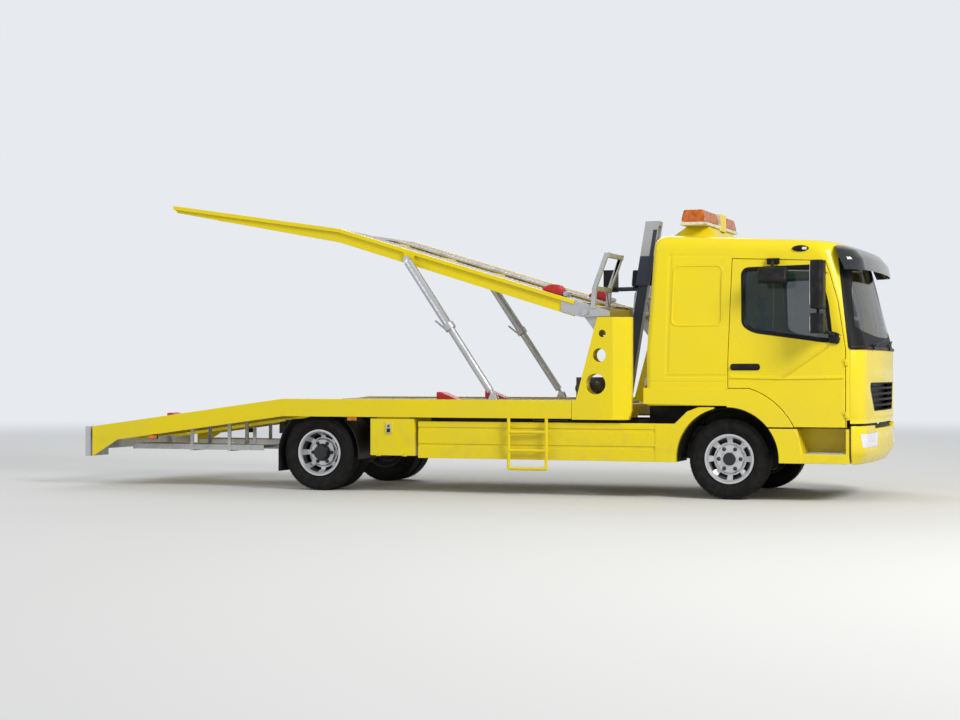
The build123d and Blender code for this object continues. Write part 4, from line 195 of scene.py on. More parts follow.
def studio():
    floor = Finish("studio_floor", base=(0.62, 0.62, 0.61), roughness=0.85, specular=0.2)
    distance = floor.add("ShaderNodeVectorMath", {0: floor.place}, 1, operation="LENGTH")
    far = distance.ramp(FADE_START, FADE_END) * ray_is(floor.tree, "Is Camera Ray", "Is Glossy Ray")
    glow = put(floor.tree, "ShaderNodeEmission", {"Color": PALE, "Strength": 1.0})
    mixed = put(floor.tree, "ShaderNodeMixShader", {0: far, 1: floor.shader.outputs[0], 2: glow.outputs[0]})
    floor.tree.links.new(mixed.outputs[0], floor.output.inputs["Surface"])
    corners = [(x * FLOOR_REACH, y * FLOOR_REACH, 0) for x, y in ((-1, -1), (1, -1), (1, 1), (-1, 1))]
    new_piece("studio_floor", mesh_of(corners, [(0, 1, 2, 3)], "studio_floor"), floor.material)

    world = bpy.data.worlds.new("studio")
    bpy.context.scene.world = world
    world.use_nodes = True
    tree = world.node_tree
    tree.nodes.clear()
    seen = ray_is(tree, "Is Camera Ray", "Is Transmission Ray")
    ambient = put(tree, "ShaderNodeBackground", {"Color": (0.95, 0.97, 1), "Strength": LIGHT_LEVEL})
    shown = put(tree, "ShaderNodeBackground", {"Color": PALE, "Strength": 1.0})
    mixed = put(tree, "ShaderNodeMixShader", {0: seen, 1: ambient.outputs[0], 2: shown.outputs[0]})
    put(tree, "ShaderNodeOutputWorld", {"Surface": mixed.outputs[0]})

    # columns: place, size, power, colour
    for place, size, power, colour in (
            ((14, -8.5, 10), 5, 2300, (1, 0.98, 0.94)), ((-12, -10, 9), 7, 650, (0.93, 0.96, 1)),
            ((-4, 13, 10), 8, 700, (1, 1, 1))):
        lamp = bpy.data.lights.new("softbox", "AREA")
        lamp.shape = "SQUARE"
        lamp.size = size
        lamp.energy = power
        lamp.color = colour
        look_from("softbox", lamp, place, (0, 0, 1))

    camera = bpy.data.cameras.new("camera")
    camera.lens = CAMERA_LENS
    camera.clip_end = 600
    bpy.context.scene.camera = look_from("camera", camera, CAMERA_PLACE, CAMERA_AIM)
    bpy.context.scene.view_settings.view_transform = "Standard"


studio()


# Chassis: pressed channel rails, axles and springs in black chassis paint with road dust,
# and a plain cast engine. They are the frame's own nodes and only take their finish here.

DUST = (0.20, 0.17, 0.13)
SHARP_ANGLE = 38


def chassis_paint():
    paint = Finish("chassis_black", specular=0.4)
    dust = paint.grain(0.18, 5).ramp(0.42, 0.78) * (1 - paint.along("Z").ramp(0.35, 1.1))
    paint.fill(base=paint.tint(dust * 0.75, (0.018, 0.018, 0.02), DUST), roughness=0.42 + dust * 0.4)
    return paint.grained(0.006, 2, 0.0006, 0.4).material


def cast_iron():
    iron = Finish("cast_iron", metallic=0.55)
    blotch = iron.grain(0.09, 5)
    iron.fill(base=iron.tint(blotch.ramp(0.45, 0.7), (0.075, 0.075, 0.078), (0.13, 0.09, 0.06)),
              roughness=0.5 + blotch * 0.3)
    return iron.grained(0.004, 3, 0.0008, 0.7).material


def dress(node, material):
    """Give a CAD node its finish, in place."""
    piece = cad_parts[node]
    piece.data.materials.clear()
    piece.data.materials.append(material)


def opened(mesh):
    work = bmesh.new()
    work.from_mesh(mesh)
    return work


def mesh_from(work, mesh=None):
    """Write worked geometry into a mesh, a new one if none is given."""
    mesh = mesh or bpy.data.meshes.new("form")
    work.to_mesh(mesh)
    work.free()
    return mesh


def final_mesh(thing):
    """The mesh that an object's modifiers or its curve make."""
    graph = bpy.context.evaluated_depsgraph_get()
    graph.update()
    return bpy.data.meshes.new_from_object(thing.evaluated_get(graph))


def shaded(mesh, sharp=SHARP_ANGLE):
    """Shade a mesh smooth except over sharp edges."""
    mesh.polygons.foreach_set("use_smooth", [True] * len(mesh.polygons))
    mesh.set_sharp_from_angle(angle=math.radians(sharp))


def applied(piece):
    """Turn what a piece's modifiers make into its own mesh."""
    done = final_mesh(piece)
    piece.modifiers.clear()
    piece.data = done
    return piece


def settle(piece, sharp=SHARP_ANGLE):
    """Apply a piece's modifiers and shade it."""
    shaded(applied(piece).data, sharp)
    return piece


def closed_up(mesh):
    """Weld a new mesh's doubled corners and turn its faces outwards."""
    work = opened(mesh)
    bmesh.ops.remove_doubles(work, verts=work.verts, dist=0.00001)
    bmesh.ops.recalc_face_normals(work, faces=work.faces)
    return mesh_from(work, mesh)


def facing_out(mesh, material, sharp=SHARP_ANGLE, name="part"):
    """A piece with its faces turned outwards and shaded."""
    return settle(new_piece(name, closed_up(mesh), material), sharp)


def levelled(piece):
    """Let the large flat faces rule the shading at their edges, so that sheet metal looks flat."""
    weight = piece.modifiers.new("level", "WEIGHTED_NORMAL")
    weight.keep_sharp = True
    return applied(piece)


def rounded_copy(node, material, edge=0.003, rounds=2, sharp=SHARP_ANGLE, fold=SHARP_ANGLE, name=None, level=True):
    """A node's copy with its edges rounded: those that turn by more than the fold angle."""
    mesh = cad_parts[node].data.copy()
    work = opened(mesh)
    bmesh.ops.remove_doubles(work, verts=work.verts, dist=0.00002)
    bmesh.ops.dissolve_limit(work, angle_limit=math.radians(0.6), verts=work.verts, edges=work.edges)
    piece = new_piece(name or node + "_finished", mesh_from(work, mesh), material)
    if edge:
        bevel = piece.modifiers.new("edge", "BEVEL")
        bevel.width = edge
        bevel.segments = rounds
        bevel.limit_method = "ANGLE"
        bevel.angle_limit = math.radians(min(sharp, fold))
        bevel.use_clamp_overlap = False
        bevel.miter_outer = "MITER_ARC"
    settle(piece, sharp)
    return levelled(piece) if level else piece


def painted(piece, material, where):
    """Give those faces of a piece that meet a condition another finish."""
    piece.data.materials.append(material)
    for face in piece.data.polygons:
        if where(face):
            face.material_index = len(piece.data.materials) - 1


def fixed_to(piece, body):
    """A piece that only the scene has, carried by a body."""
    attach(piece, body)


def stand_for(piece, node, body):
    """The finished piece rides on a body and replaces the node."""
    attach(piece, body)
    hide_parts(node)


def finished(node, material, body, slot, **rounding):
    stand_for(rounded_copy(node, material, **rounding), node, body)


CAST_IRON = cast_iron()
CHASSIS_BLACK = chassis_paint()
for part in ("chassis_frame", "rear_axle", "leaf_springs", "tanks"):
    dress(part, CHASSIS_BLACK)
for part in ("front_axle_beam", "engine", "knuckle_right", "knuckle_left", "winch", "tow_jaw"):
    dress(part, CAST_IRON)


# Wheels: silver painted steel discs with hand holes and studs, on radial tyres with ribbed
# sidewalls and a grooved tread. The tyre is turned from one profile and its tread blocks are
# laid round it.

TYRE_WIDTH = 0.211
TYRE_RADIUS = 0.3835
BEAD_RADIUS = 0.222
TREAD_HALF = 0.083
TREAD_DEPTH = 0.011
TURNS = 96
BLOCKS = 58
SIPES = 72
HAND_HOLES = 8
HUB_RADIUS = {"front": 0.060, "rear": 0.088}
DISH = {"front": 0.062, "rear": 0.118}
NUTS_BEFORE_DISH = 0.022
SHADE_BEHIND_DISH = 0.024
DRUM_BEHIND_DISH = 0.058
NUT_RADIUS = 0.0155
NUT_HEIGHT = 0.022
NUT_FLANGE = 0.021
NUT_CIRCLE = 0.105
DRUM_RADIUS = 0.192
DRUM_WIDTH = 0.050
POINT = 0.0005


def worn(name, clean, soiled, patch, rough, relief, share=1.0, solid=(1.0, 0.0), **plain):
    """A finish with soiled patches (size, detail, noise from, noise to) that are rougher and more
    solid (least, gain), over a fine relief (size, detail, depth, strength)."""
    finish = Finish(name, **plain)
    size, detail, low, high = patch
    mask = finish.grain(size, detail).ramp(low, high)
    finish.fill(base=finish.tint(mask * share, clean, soiled), roughness=rough[0] + mask * rough[1])
    if solid[0] < 1:
        finish.fill(alpha=solid[0] + mask * solid[1])
    return finish.grained(*relief).material


def speckled(name, dark, light, size, detail, roughness, specular):
    """A plain finish that varies between two near colours."""
    finish = Finish(name, specular=specular, roughness=roughness)
    return finish.fill(base=finish.tint(finish.grain(size, detail), dark, light)).material


def wheel_silver(name, axle_x, hub_radius):
    """Silver enamel with dirt, black paint round the axle's end, and painted shade round the hand holes."""
    silver = Finish(name)
    dirt = silver.grain(0.04, 4).ramp(0.5, 0.85)
    ahead = silver.along("X") - axle_x
    above = silver.along("Z") - TYRE_RADIUS
    radius = (ahead * ahead + above * above).maths("SQRT")
    spoke = (above.maths("ARCTAN2", ahead) * HAND_HOLES).maths("COSINE") * -1.0
    # Painted shade: black round each hand hole, widening the dark opening where the space behind the disc shows.
    hole = spoke.ramp(-0.45, -0.30) * radius.ramp(0.155, 0.158) * (1 - radius.ramp(0.200, 0.203))
    black = (1 - radius.ramp(hub_radius, hub_radius + 0.003)).maths("MAXIMUM", hole)
    enamel = silver.tint(dirt * 0.5, (0.62, 0.63, 0.65), (0.18, 0.16, 0.14))
    silver.fill(base=silver.tint(black, enamel, (0.016, 0.016, 0.020)), metallic=0.65 - black * 0.55,
                roughness=0.28 + dirt * 0.35 + black * 0.2)
    return silver.grained(0.004, 2, 0.0002, 0.5).material


def tyre_profile():
    """Half of the tyre's section from tread centre to bead: distance from middle, radius."""
    outer = TYRE_WIDTH / 2
    groove = TYRE_RADIUS - TREAD_DEPTH
    points = [(0.0, TYRE_RADIUS)]
    # columns: middle and half width of each circumferential groove
    for middle, half in ((0.022, 0.004), (0.055, 0.004)):
        points += [(middle - half, TYRE_RADIUS - 0.0005), (middle - half * 0.7, groove),
                   (middle + half * 0.7, groove), (middle + half, TYRE_RADIUS - 0.0008)]
    points += [(TREAD_HALF, TYRE_RADIUS - 0.003), (TREAD_HALF + 0.005, TYRE_RADIUS - 0.007),
               (outer - 0.012, TYRE_RADIUS - 0.026)]
    # columns: inset from the widest point, radius
    sidewall = ((0.004, 0.345), (0.0025, 0.343), (0.0015, 0.330), (0.0, 0.318), (0.0005, 0.302),
                (0.002, 0.300), (0.002, 0.290), (0.0045, 0.288), (0.010, 0.268), (0.014, 0.262),
                (0.017, 0.262), (0.022, 0.246), (0.027, 0.238), (0.028, 0.226), (0.034, BEAD_RADIUS))
    return points + [(outer - inset, radius) for inset, radius in sidewall]


def around(count):
    """Cosine and sine of equal steps round a circle."""
    return [(math.cos(2 * math.pi * k / count), math.sin(2 * math.pi * k / count)) for k in range(count)]


def lofted(rings, ends="flat", tubular=True):
    """A skin through rings of corners, or through open rows. Its ends are flat, strips from one
    half of the ring to the other, open, or joined to each other."""
    n = len(rings[0])
    faces = []
    for r in range(len(rings) if ends == "joined" else len(rings) - 1):
        low = r * n
        high = (r + 1) % len(rings) * n
        faces += [(low + k, low + (k + 1) % n, high + (k + 1) % n, high + k) for k in range(n if tubular else n - 1)]
    for first in (0, (len(rings) - 1) * n):
        if ends == "flat":
            faces.append(tuple(range(first, first + n)))
        elif ends == "strips":
            faces += [(first + k, first + k + 1, first + n - 2 - k, first + n - 1 - k) for k in range(n // 2 - 1)]
    return mesh_of([corner for ring in rings for corner in ring], faces)


def turned(profile, turns, place=(0, 0, 0)):
    """Revolve a profile of (distance along Y, radius) round the Y axis through place."""
    x, y, z = place
    return closed_up(lofted([[(x + radius * c, y + t, z + radius * s) for c, s in around(turns)]
                             for t, radius in profile], "open"))


def joined(meshes):
    """One mesh from several, each keeping its place."""
    work = bmesh.new()
    for mesh in meshes:
        work.from_mesh(mesh)
    return mesh_from(work)


def slab(x0, x1, y0, y1, z0, z1):
    """A box mesh given by its limits."""
    return closed_up(lofted([[(x, y0, z0), (x, y1, z0), (x, y1, z1), (x, y0, z1)] for x in (x0, x1)]))


def repeater(name, **sockets):
    """A Geometry Nodes tree with inputs of the given types, and those inputs."""
    tree = bpy.data.node_groups.new(name, "GeometryNodeTree")
    for label, kind in sockets.items():
        tree.interface.new_socket(label, in_out="INPUT", socket_type="NodeSocket" + kind)
    tree.interface.new_socket("Geometry", in_out="OUTPUT", socket_type="NodeSocketGeometry")
    return tree, put(tree, "NodeGroupInput").outputs


def realised(tree, copies, material):
    """End a tree: its copies become real and take their finish."""
    real = put(tree, "GeometryNodeRealizeInstances", {"Geometry": copies.outputs[0]})
    coloured = put(tree, "GeometryNodeSetMaterial", {"Geometry": real.outputs[0], "Material": material})
    put(tree, "NodeGroupOutput", {0: coloured.outputs[0]})
    return tree


def ring_tree(name, material):
    """Geometry Nodes: copies of an item set in a ring round the Y axis, then turned by a start angle."""
    tree, given = repeater(name, Item="Object", Count="Int", Radius="Float", Start="Float", Centre="Vector")
    line = put(tree, "GeometryNodeMeshLine", {"Count": given["Count"], "Offset": (0, 0, 0)}, mode="OFFSET")
    index = Value(tree, put(tree, "GeometryNodeInputIndex").outputs[0])
    step = Value(tree, given["Count"]).maths("DIVIDE", 2 * math.pi, True)
    angle = index * step + Value(tree, given["Start"])
    radius = Value(tree, given["Radius"])
    ring = put(tree, "ShaderNodeCombineXYZ",
               {0: angle.maths("COSINE") * radius, 2: angle.maths("SINE") * radius})
    ring = put(tree, "ShaderNodeVectorMath", {0: ring.outputs[0], 1: given["Centre"]}, operation="ADD")
    placed = put(tree, "GeometryNodeSetPosition", {"Geometry": line.outputs[0], "Position": ring.outputs[0]})
    turn = put(tree, "ShaderNodeCombineXYZ", {1: angle * -1.0})
    item = put(tree, "GeometryNodeObjectInfo", {"Object": given["Item"]})
    copies = put(tree, "GeometryNodeInstanceOnPoints",
                 {"Points": placed.outputs[0], "Instance": item.outputs["Geometry"], "Rotation": turn.outputs[0]})
    return realised(tree, copies, material)


def grown_by(tree, mesh, **values):
    """Run a tree on copies of a mesh and return what it makes."""
    carrier = new_piece("carrier", bpy.data.meshes.new("carrier"))
    modifier = carrier.modifiers.new("grow", "NODES")
    modifier.node_group = tree
    values["Item"] = bpy.data.objects.new("item", mesh)
    for socket in tree.interface.items_tree:
        if socket.in_out == "INPUT":
            modifier[socket.identifier] = values[socket.name]
    grown = final_mesh(carrier)
    bpy.data.objects.remove(carrier)
    return grown


TYRE_RUBBER = worn("tyre_rubber", (0.007, 0.007, 0.007), (0.019, 0.018, 0.016), (0.05, 4, 0.35, 0.8), (0.62, 0.25),
                   (0.0025, 2, 0.0003, 0.6), specular=0.12)
HUB_BLACK = speckled("hub_black", (0.014, 0.014, 0.018), (0.035, 0.033, 0.033), 0.02, 3, 0.45, 0.4)
RING_RUBBER = ring_tree("tread_ring", TYRE_RUBBER)
RING_NUTS = ring_tree("nut_ring", HUB_BLACK)


def tyre_mesh(x, y_middle, lugs):
    """A whole tyre: turned carcass, tread bars across it and shoulder notches."""
    half = tyre_profile()
    parts = [turned([(-t, r) for t, r in reversed(half[1:])] + half, TURNS, (x, y_middle, TYRE_RADIUS))]
    # columns: offset from the middle and width of each row of tread bars
    rows = ((-0.068, 0.028), (0.068, 0.028), (0.0, 0.030)) if lugs else ((-0.070, 0.020), (0.070, 0.020))
    for row, (offset, width) in enumerate(rows):
        block = slab(-0.003, 0.0012, -width / 2, width / 2, -0.0075, 0.0075)
        parts.append(grown_by(RING_RUBBER, block, Count=BLOCKS, Radius=TYRE_RADIUS - 0.0014, Start=0.05 * row,
                              Centre=(x, y_middle + offset, TYRE_RADIUS)))
    rib = slab(-0.012, 0.010, -0.0007, 0.0007, -0.0012, 0.0012)
    for end in (-1, 1):
        parts.append(grown_by(RING_RUBBER, rib, Count=SIPES, Radius=0.352, Start=0.0,
                              Centre=(x, y_middle + end * (TYRE_WIDTH / 2 - 0.0052), TYRE_RADIUS)))
    return joined(parts)


def hex_nut(outboard):
    """A domed wheel nut on its flange, standing out along Y."""
    # columns: distance out, radius
    sections = ((0.0, NUT_FLANGE), (0.004, NUT_FLANGE), (0.005, NUT_RADIUS), (NUT_HEIGHT - 0.003, NUT_RADIUS),
                (NUT_HEIGHT, NUT_RADIUS - 0.004))
    return closed_up(lofted([[(radius * c, outboard * out, radius * s) for c, s in around(6)]
                             for out, radius in sections]))


def wheel(word, side, end):
    """Dress one front wheel or one pair of rear wheels."""
    rim, tyre, body = (kind + ("s_rear_" if end == "rear" else "_front_") + word for kind in ("rim", "tyre", "wheel"))
    low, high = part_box(tyre)
    x = (low.x + high.x) / 2
    outer, inner = (low.y, high.y) if side == RIGHT else (high.y, low.y)
    middles = [outer - side * TYRE_WIDTH / 2]
    if end == "rear":
        middles.append(inner + side * TYRE_WIDTH / 2)
    rubber = new_piece(tyre + "_finished", joined([tyre_mesh(x, middle, end == "rear") for middle in middles]),
                       TYRE_RUBBER)
    stand_for(settle(rubber, 30), tyre, body)
    disc = rounded_copy(rim, wheel_silver("wheel_silver_" + end, x, HUB_RADIUS[end]), edge=0, sharp=32)
    # Painted shade: the rim's faces well behind the dish, inside the wheel where shade falls, take the hub's black.
    painted(disc, HUB_BLACK, lambda face: abs(face.center.y) < abs(outer) - DISH[end] - SHADE_BEHIND_DISH)
    stand_for(disc, rim, body)
    nuts = grown_by(RING_NUTS, hex_nut(side), Count=6, Radius=NUT_CIRCLE, Start=0.0,
                    Centre=(x, outer - side * (DISH[end] - NUTS_BEFORE_DISH), TYRE_RADIUS))
    fixed_to(settle(new_piece("wheel_nuts_" + end + "_" + word, nuts), 30), body)
    drum = turned([(0.0, POINT), (0.0, DRUM_RADIUS), (-side * DRUM_WIDTH, DRUM_RADIUS), (-side * DRUM_WIDTH, POINT)],
                  48, (x, outer - side * (DISH[end] + DRUM_BEHIND_DISH), TYRE_RADIUS))
    fixed_to(facing_out(drum, HUB_BLACK, 30, "brake_drum_" + end + "_" + word), body)


for word, side in SIDES:
    wheel(word, side, "front")
    wheel(word, side, "rear")


# Cab: pressed steel in gloss yellow over a welded shell. The shell, front panel, doors, bumper
# and steps keep the frame's shapes, with their edges rounded as a press rounds them. The paint's
# relief has the sleeper wall's shallow press lines, and a soft line under each crease of a door.

AHEAD = 0.086


def fore(x):
    """The drawing's X in millimetres as this frame's X in metres."""
    return x / 1000 + AHEAD


def spot(x, y, z):
    """A place in the drawing, in millimetres, as a place in this frame."""
    return Vector((fore(x), y / 1000, z / 1000))


def gloss_paint(name, colour, dusty_to, shine=0.2):
    """Gloss paint with road film up to a height, and thin streaks."""
    paint = Finish(name, coat=shine, coat_roughness=0.06, specular=0.22)
    fade = paint.grain(0.9, 3)
    film = paint.grain(0.12, 6).ramp(0.45, 0.9) * (1 - paint.along("Z").ramp(0.25, dusty_to))
    streak = paint.grain(0.03, 4, (1, 1, 0.06)).ramp(0.62, 0.9) * 0.10
    clean = paint.tint(fade.ramp(0.35, 0.7), colour, tuple(c * 0.93 + 0.012 for c in colour))
    grime = (film * 0.30 + streak).maths("MINIMUM", 1.0)
    return paint.fill(base=paint.tint(grime, clean, (0.33, 0.27, 0.10)),
                      roughness=0.24 + film * 0.3 + fade * 0.06)


def ditch(finish, start, end, width):
    """1 in the middle of a press line between two places in X and Z, 0 beyond its width."""
    run = math.hypot(end.x - start.x, end.z - start.z)
    way_x = (end.x - start.x) / run
    way_z = (end.z - start.z) / run
    x = finish.along("X") - start.x
    z = finish.along("Z") - start.z
    off = (x * -way_z + z * way_x).maths("ABSOLUTE")
    done = x * way_x + z * way_z
    return (1 - off.ramp(width * 0.15, width)) * (done.ramp(-0.02, 0.03) * (1 - done.ramp(run - 0.03, run + 0.02)))


def cab_yellow(name, lines):
    paint = gloss_paint(name, (0.755, 0.600, 0.010), 0.8)
    height = paint.grain(0.0035, 1) * 0.02
    for x0, z0, x1, z1, width, depth in lines:
        height = height - ditch(paint, spot(x0, 0, z0), spot(x1, 0, z1), width / 1000) * depth
    return paint.bump(height, 0.001, 0.9).material


# columns: start X and Z, end X and Z in millimetres, width and depth in millimetres
SHELL_LINES = ((2180, 1190, 2205, 2330, 26, 5), (2165, 1165, 2760, 1165, 22, 4), (2180, 2310, 2760, 2300, 18, 2),
               (1990, 1110, 2760, 1110, 12, 2))
DOOR_LINES = ((3262, 1138, 3712, 1450, 24, 9), (2790, 1150, 3262, 1140, 16, 3), (3262, 1140, 3840, 1150, 14, 2))
DOOR_YELLOW = cab_yellow("door_yellow", DOOR_LINES)
PLAIN_YELLOW = cab_yellow("plain_yellow", ())

finished("cab_shell", cab_yellow("cab_yellow", SHELL_LINES), "cab", "cab_yellow")
finished("front_panel", PLAIN_YELLOW, "cab", "cab_yellow", level=False)
for word, side in SIDES:
    finished("door_" + word, DOOR_YELLOW, "door_" + word, "cab_yellow")
finished("front_bumper", PLAIN_YELLOW, "chassis", "cab_yellow", edge=0.004, level=False)
finished("cab_steps", PLAIN_YELLOW, "chassis", "cab_yellow", edge=0.004)
finished("beacon_pedestal", PLAIN_YELLOW, "cab", "cab_yellow", edge=0.004, fold=25)


# Cab glass and its rubbers: tinted safety glass held in black rubber, a wider black border round
# the windscreen, and two wiper arms parked along its lower edge.

SCREEN_FOOT = spot(3900, 0, 1440)
SCREEN_HEAD = spot(3790, 0, 2250)
BORDER_FOOT = 0.095
BORDER_HEAD = 0.045
BORDER_SIDE = 0.060
RUBBER_WIDTH = 0.030


class Skin:
    """The outside of some nodes, on which trims and lamps are laid."""

    def __init__(self, *nodes):
        work = bmesh.new()
        for node in nodes:
            work.from_mesh(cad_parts[node].data)
        self.tree = BVHTree.FromBMesh(work)
        work.free()

    def met(self, start, way):
        """Where a ray meets the skin, and the skin's outward direction there."""
        return self.tree.ray_cast(Vector(start), Vector(way))[:2]

    def side(self, x, z, side):
        return self.met((x, side * 3, z), (0, -side, 0))

    def front(self, y, z):
        return self.met((7, y, z), (-1, 0, 0))

    def trace(self, points, side):
        """Places on one side for points in X and Z, and their outward directions."""
        return zip(*[self.side(x, z, side) for x, z in points])


def rounded_loop(corners, radius, step=0.05):
    """A closed outline in a plane with its corners rounded and its long sides divided."""
    loop = []
    count = len(corners)
    for k in range(count):
        here = Vector(corners[k])
        back = Vector(corners[k - 1]) - here
        ahead = Vector(corners[(k + 1) % count]) - here
        cut = min(radius, back.length * 0.45, ahead.length * 0.45)
        a = here + back.normalized() * cut
        b = here + ahead.normalized() * cut
        loop += [a * (1 - t) ** 2 + here * 2 * t * (1 - t) + b * t ** 2 for t in (s / 6 for s in range(7))]
    full = []
    for k, point in enumerate(loop):
        after = loop[(k + 1) % len(loop)]
        cuts = max(1, math.ceil((after - point).length / step))
        full += [point.lerp(after, c / cuts) for c in range(cuts)]
    return full


def moulding(name, path, outward, section, material, closed=False, middle=None):
    """A rubber or trim: a section of (sideways, outward) corners swept along a path on a surface."""
    count = len(path)
    rings = []
    for k, here in enumerate(path):
        before = path[k - 1] if k or closed else here
        after = path[(k + 1) % count] if k < count - 1 or closed else here
        along = (after - before).normalized()
        up = (outward[k] - along * outward[k].dot(along)).normalized()
        across = along.cross(up)
        if middle is not None and across.dot(middle - here) < 0:
            across = -across
        rings.append([here + across * s + up * o for s, o in section])
    return facing_out(lofted(rings, "joined" if closed else "flat"), material, name=name)


def glassy(glass, alpha, wave, border=0.0):
    """Thin dirt on a glass with slow waves, which is solid where its border is printed."""
    film = glass.grain(0.25, 4).ramp(0.45, 0.85)
    glass.fill(roughness=0.03 + film * 0.05, alpha=(alpha + film * 0.05).maths("MAXIMUM", border))
    return glass.grained(wave, 1, 0.0006, 0.3).material


def screen_glass():
    """Glass that is black near its edges, where the printed border is."""
    glass = Finish("screen_glass", base=(0.010, 0.018, 0.020), coat=1.0, coat_roughness=0.02, specular=0.6)
    z = glass.along("Z")
    lean = (SCREEN_HEAD.x - SCREEN_FOOT.x) / (SCREEN_HEAD.z - SCREEN_FOOT.z)
    edge = (z - SCREEN_FOOT.z) * lean + SCREEN_FOOT.x
    border = 1 - (glass.along("X") - edge).ramp(0.045, 0.055)
    border = border.maths("MAXIMUM", 1 - z.ramp(SCREEN_FOOT.z + 0.070, SCREEN_FOOT.z + 0.085))
    border = border.maths("MAXIMUM", z.ramp(SCREEN_HEAD.z - 0.05, SCREEN_HEAD.z - 0.04))
    return glassy(glass, 0.42, 0.7, border)


BLACK_RUBBER = worn("black_rubber", (0.008, 0.008, 0.009), (0.022, 0.021, 0.020), (0.03, 3, 0.5, 0.9), (0.5, 0.25),
                    (0.002, 1, 0.0002, 0.4), specular=0.14)
BLACK_PLASTIC = worn("black_plastic", (0.009, 0.009, 0.010), (0.024, 0.023, 0.023), (0.08, 4, 0.4, 0.8), (0.38, 0.25),
                     (0.0016, 1, 0.0002, 0.6), specular=0.18)
DOOR_GLASS = glassy(Finish("door_glass", base=(0.008, 0.030, 0.032), coat=0.8, coat_roughness=0.02, specular=0.5),
                    0.44, 0.6)
for word, side in SIDES:
    dress("door_glass_" + word, DOOR_GLASS)
dress("windscreen", screen_glass())


def walled(piece, thickness, offset):
    """Give a sheet its thickness."""
    wall = piece.modifiers.new("wall", "SOLIDIFY")
    wall.thickness = thickness
    wall.offset = offset
    return applied(piece)


def printed_border():
    """The black border printed round the screen: the glass's outer skin with its clear middle cut out."""
    work = opened(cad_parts["windscreen"].data)
    bmesh.ops.remove_doubles(work, verts=work.verts, dist=0.00002)
    bmesh.ops.recalc_face_normals(work, faces=work.faces)
    inside = spot(2900, 0, 1700)
    hidden = [face for face in work.faces
              if face.normal.dot((face.calc_center_median() - inside).normalized()) < 0.45]
    bmesh.ops.delete(work, geom=hidden, context="FACES")
    leaning = Vector((SCREEN_HEAD.z - SCREEN_FOOT.z, 0, SCREEN_FOOT.x - SCREEN_HEAD.x)).normalized()
    # columns: a point on the edge of the clear glass, and the way into it
    edges = ((Vector((0, 0, SCREEN_FOOT.z + BORDER_FOOT)), Vector((0, 0, 1))),
             (Vector((0, 0, SCREEN_HEAD.z - BORDER_HEAD)), Vector((0, 0, -1))),
             (SCREEN_FOOT + leaning * BORDER_SIDE, leaning),
             (SCREEN_FOOT + Vector((0.150, 0, BORDER_FOOT)), Vector((0.62, 0, 0.78)).normalized()))
    for place, inward in edges:
        bmesh.ops.bisect_plane(work, geom=work.verts[:] + work.edges[:] + work.faces[:], dist=0.00001,
                               plane_co=place, plane_no=inward)
    clear = [face for face in work.faces
             if all((face.calc_center_median() - place).dot(inward) > 0 for place, inward in edges)]
    bmesh.ops.delete(work, geom=clear, context="FACES")
    work.normal_update()
    for corner in work.verts:
        corner.co += corner.normal * 0.0006
    return settle(walled(new_piece("screen_border", mesh_from(work), BLACK_RUBBER), 0.0008, 1), 30)


fixed_to(printed_border(), "cab")

# columns: X and Z of the side window's corners in millimetres
WINDOW = ((2892, 2178), (2903, 1640), (3010, 1575), (3745, 1472), (3700, 1850), (3600, 2195))
# columns: sideways towards the glass and outward, in metres
WINDOW_SECTION = ((-0.008, -0.001), (-0.006, 0.003), (0.004, 0.005), (0.018, 0.001), (RUBBER_WIDTH, -0.010),
                  (RUBBER_WIDTH, -0.019), (0.002, -0.019))
corners = [spot(x, 0, z).xz for x, z in WINDOW]
middle = sum(corners, Vector((0, 0))) / len(corners)
for word, side in SIDES:
    skin = Skin("door_" + word)
    path = []
    outward = []
    for point in rounded_loop(corners, 0.075):
        beyond = point + (point - middle).normalized() * 0.012
        hit, normal = skin.side(beyond.x, beyond.y, side)
        path.append(Vector((point.x, hit.y, point.y)))
        outward.append(normal if normal.y * side > 0 else Vector((0, side, 0)))
    rubber = moulding("window_rubber_" + word, path, outward, WINDOW_SECTION, BLACK_RUBBER, closed=True,
                      middle=Vector((middle.x, path[0].y, middle.y)))
    fixed_to(rubber, "door_" + word)

# The windscreen's rubbers follow its side edges up the pillars.
PILLAR_SECTION = ((-0.012, -0.004), (-0.010, 0.004), (0.012, 0.005), (0.020, -0.002))
PILLAR_LOW = 1.420
PILLAR_HIGH = 2.262
cab_skin = Skin("cab_shell", "front_panel", "windscreen")
for word, side in SIDES:
    points = []
    for k in range(14):
        z = PILLAR_LOW + (PILLAR_HIGH - PILLAR_LOW) * k / 13
        share = (z - SCREEN_FOOT.z) / (SCREEN_HEAD.z - SCREEN_FOOT.z)
        points.append((SCREEN_FOOT.lerp(SCREEN_HEAD, share).x - 0.004, z))
    path, outward = cab_skin.trace(points, side)
    fixed_to(moulding("screen_rubber_" + word, path, outward, PILLAR_SECTION, BLACK_RUBBER), "cab")


def tube(points, radius, material, sides=8, smooth=False):
    """A round bar through some points, straight between them or curved."""
    curve = bpy.data.curves.new("tube", "CURVE")
    curve.dimensions = "3D"
    curve.bevel_depth = radius
    curve.bevel_resolution = max(1, sides // 4)
    curve.use_fill_caps = True
    spline = curve.splines.new("NURBS" if smooth else "POLY")
    spline.points.add(len(points) - 1)
    for place, point in zip(spline.points, points):
        place.co = (*point, 1)
    if smooth:
        spline.order_u = 3
        spline.use_endpoint_u = True
    holder = bpy.data.objects.new("tube", curve)
    bpy.context.scene.collection.objects.link(holder)
    mesh = final_mesh(holder)
    bpy.data.objects.remove(holder)
    return facing_out(mesh, material)


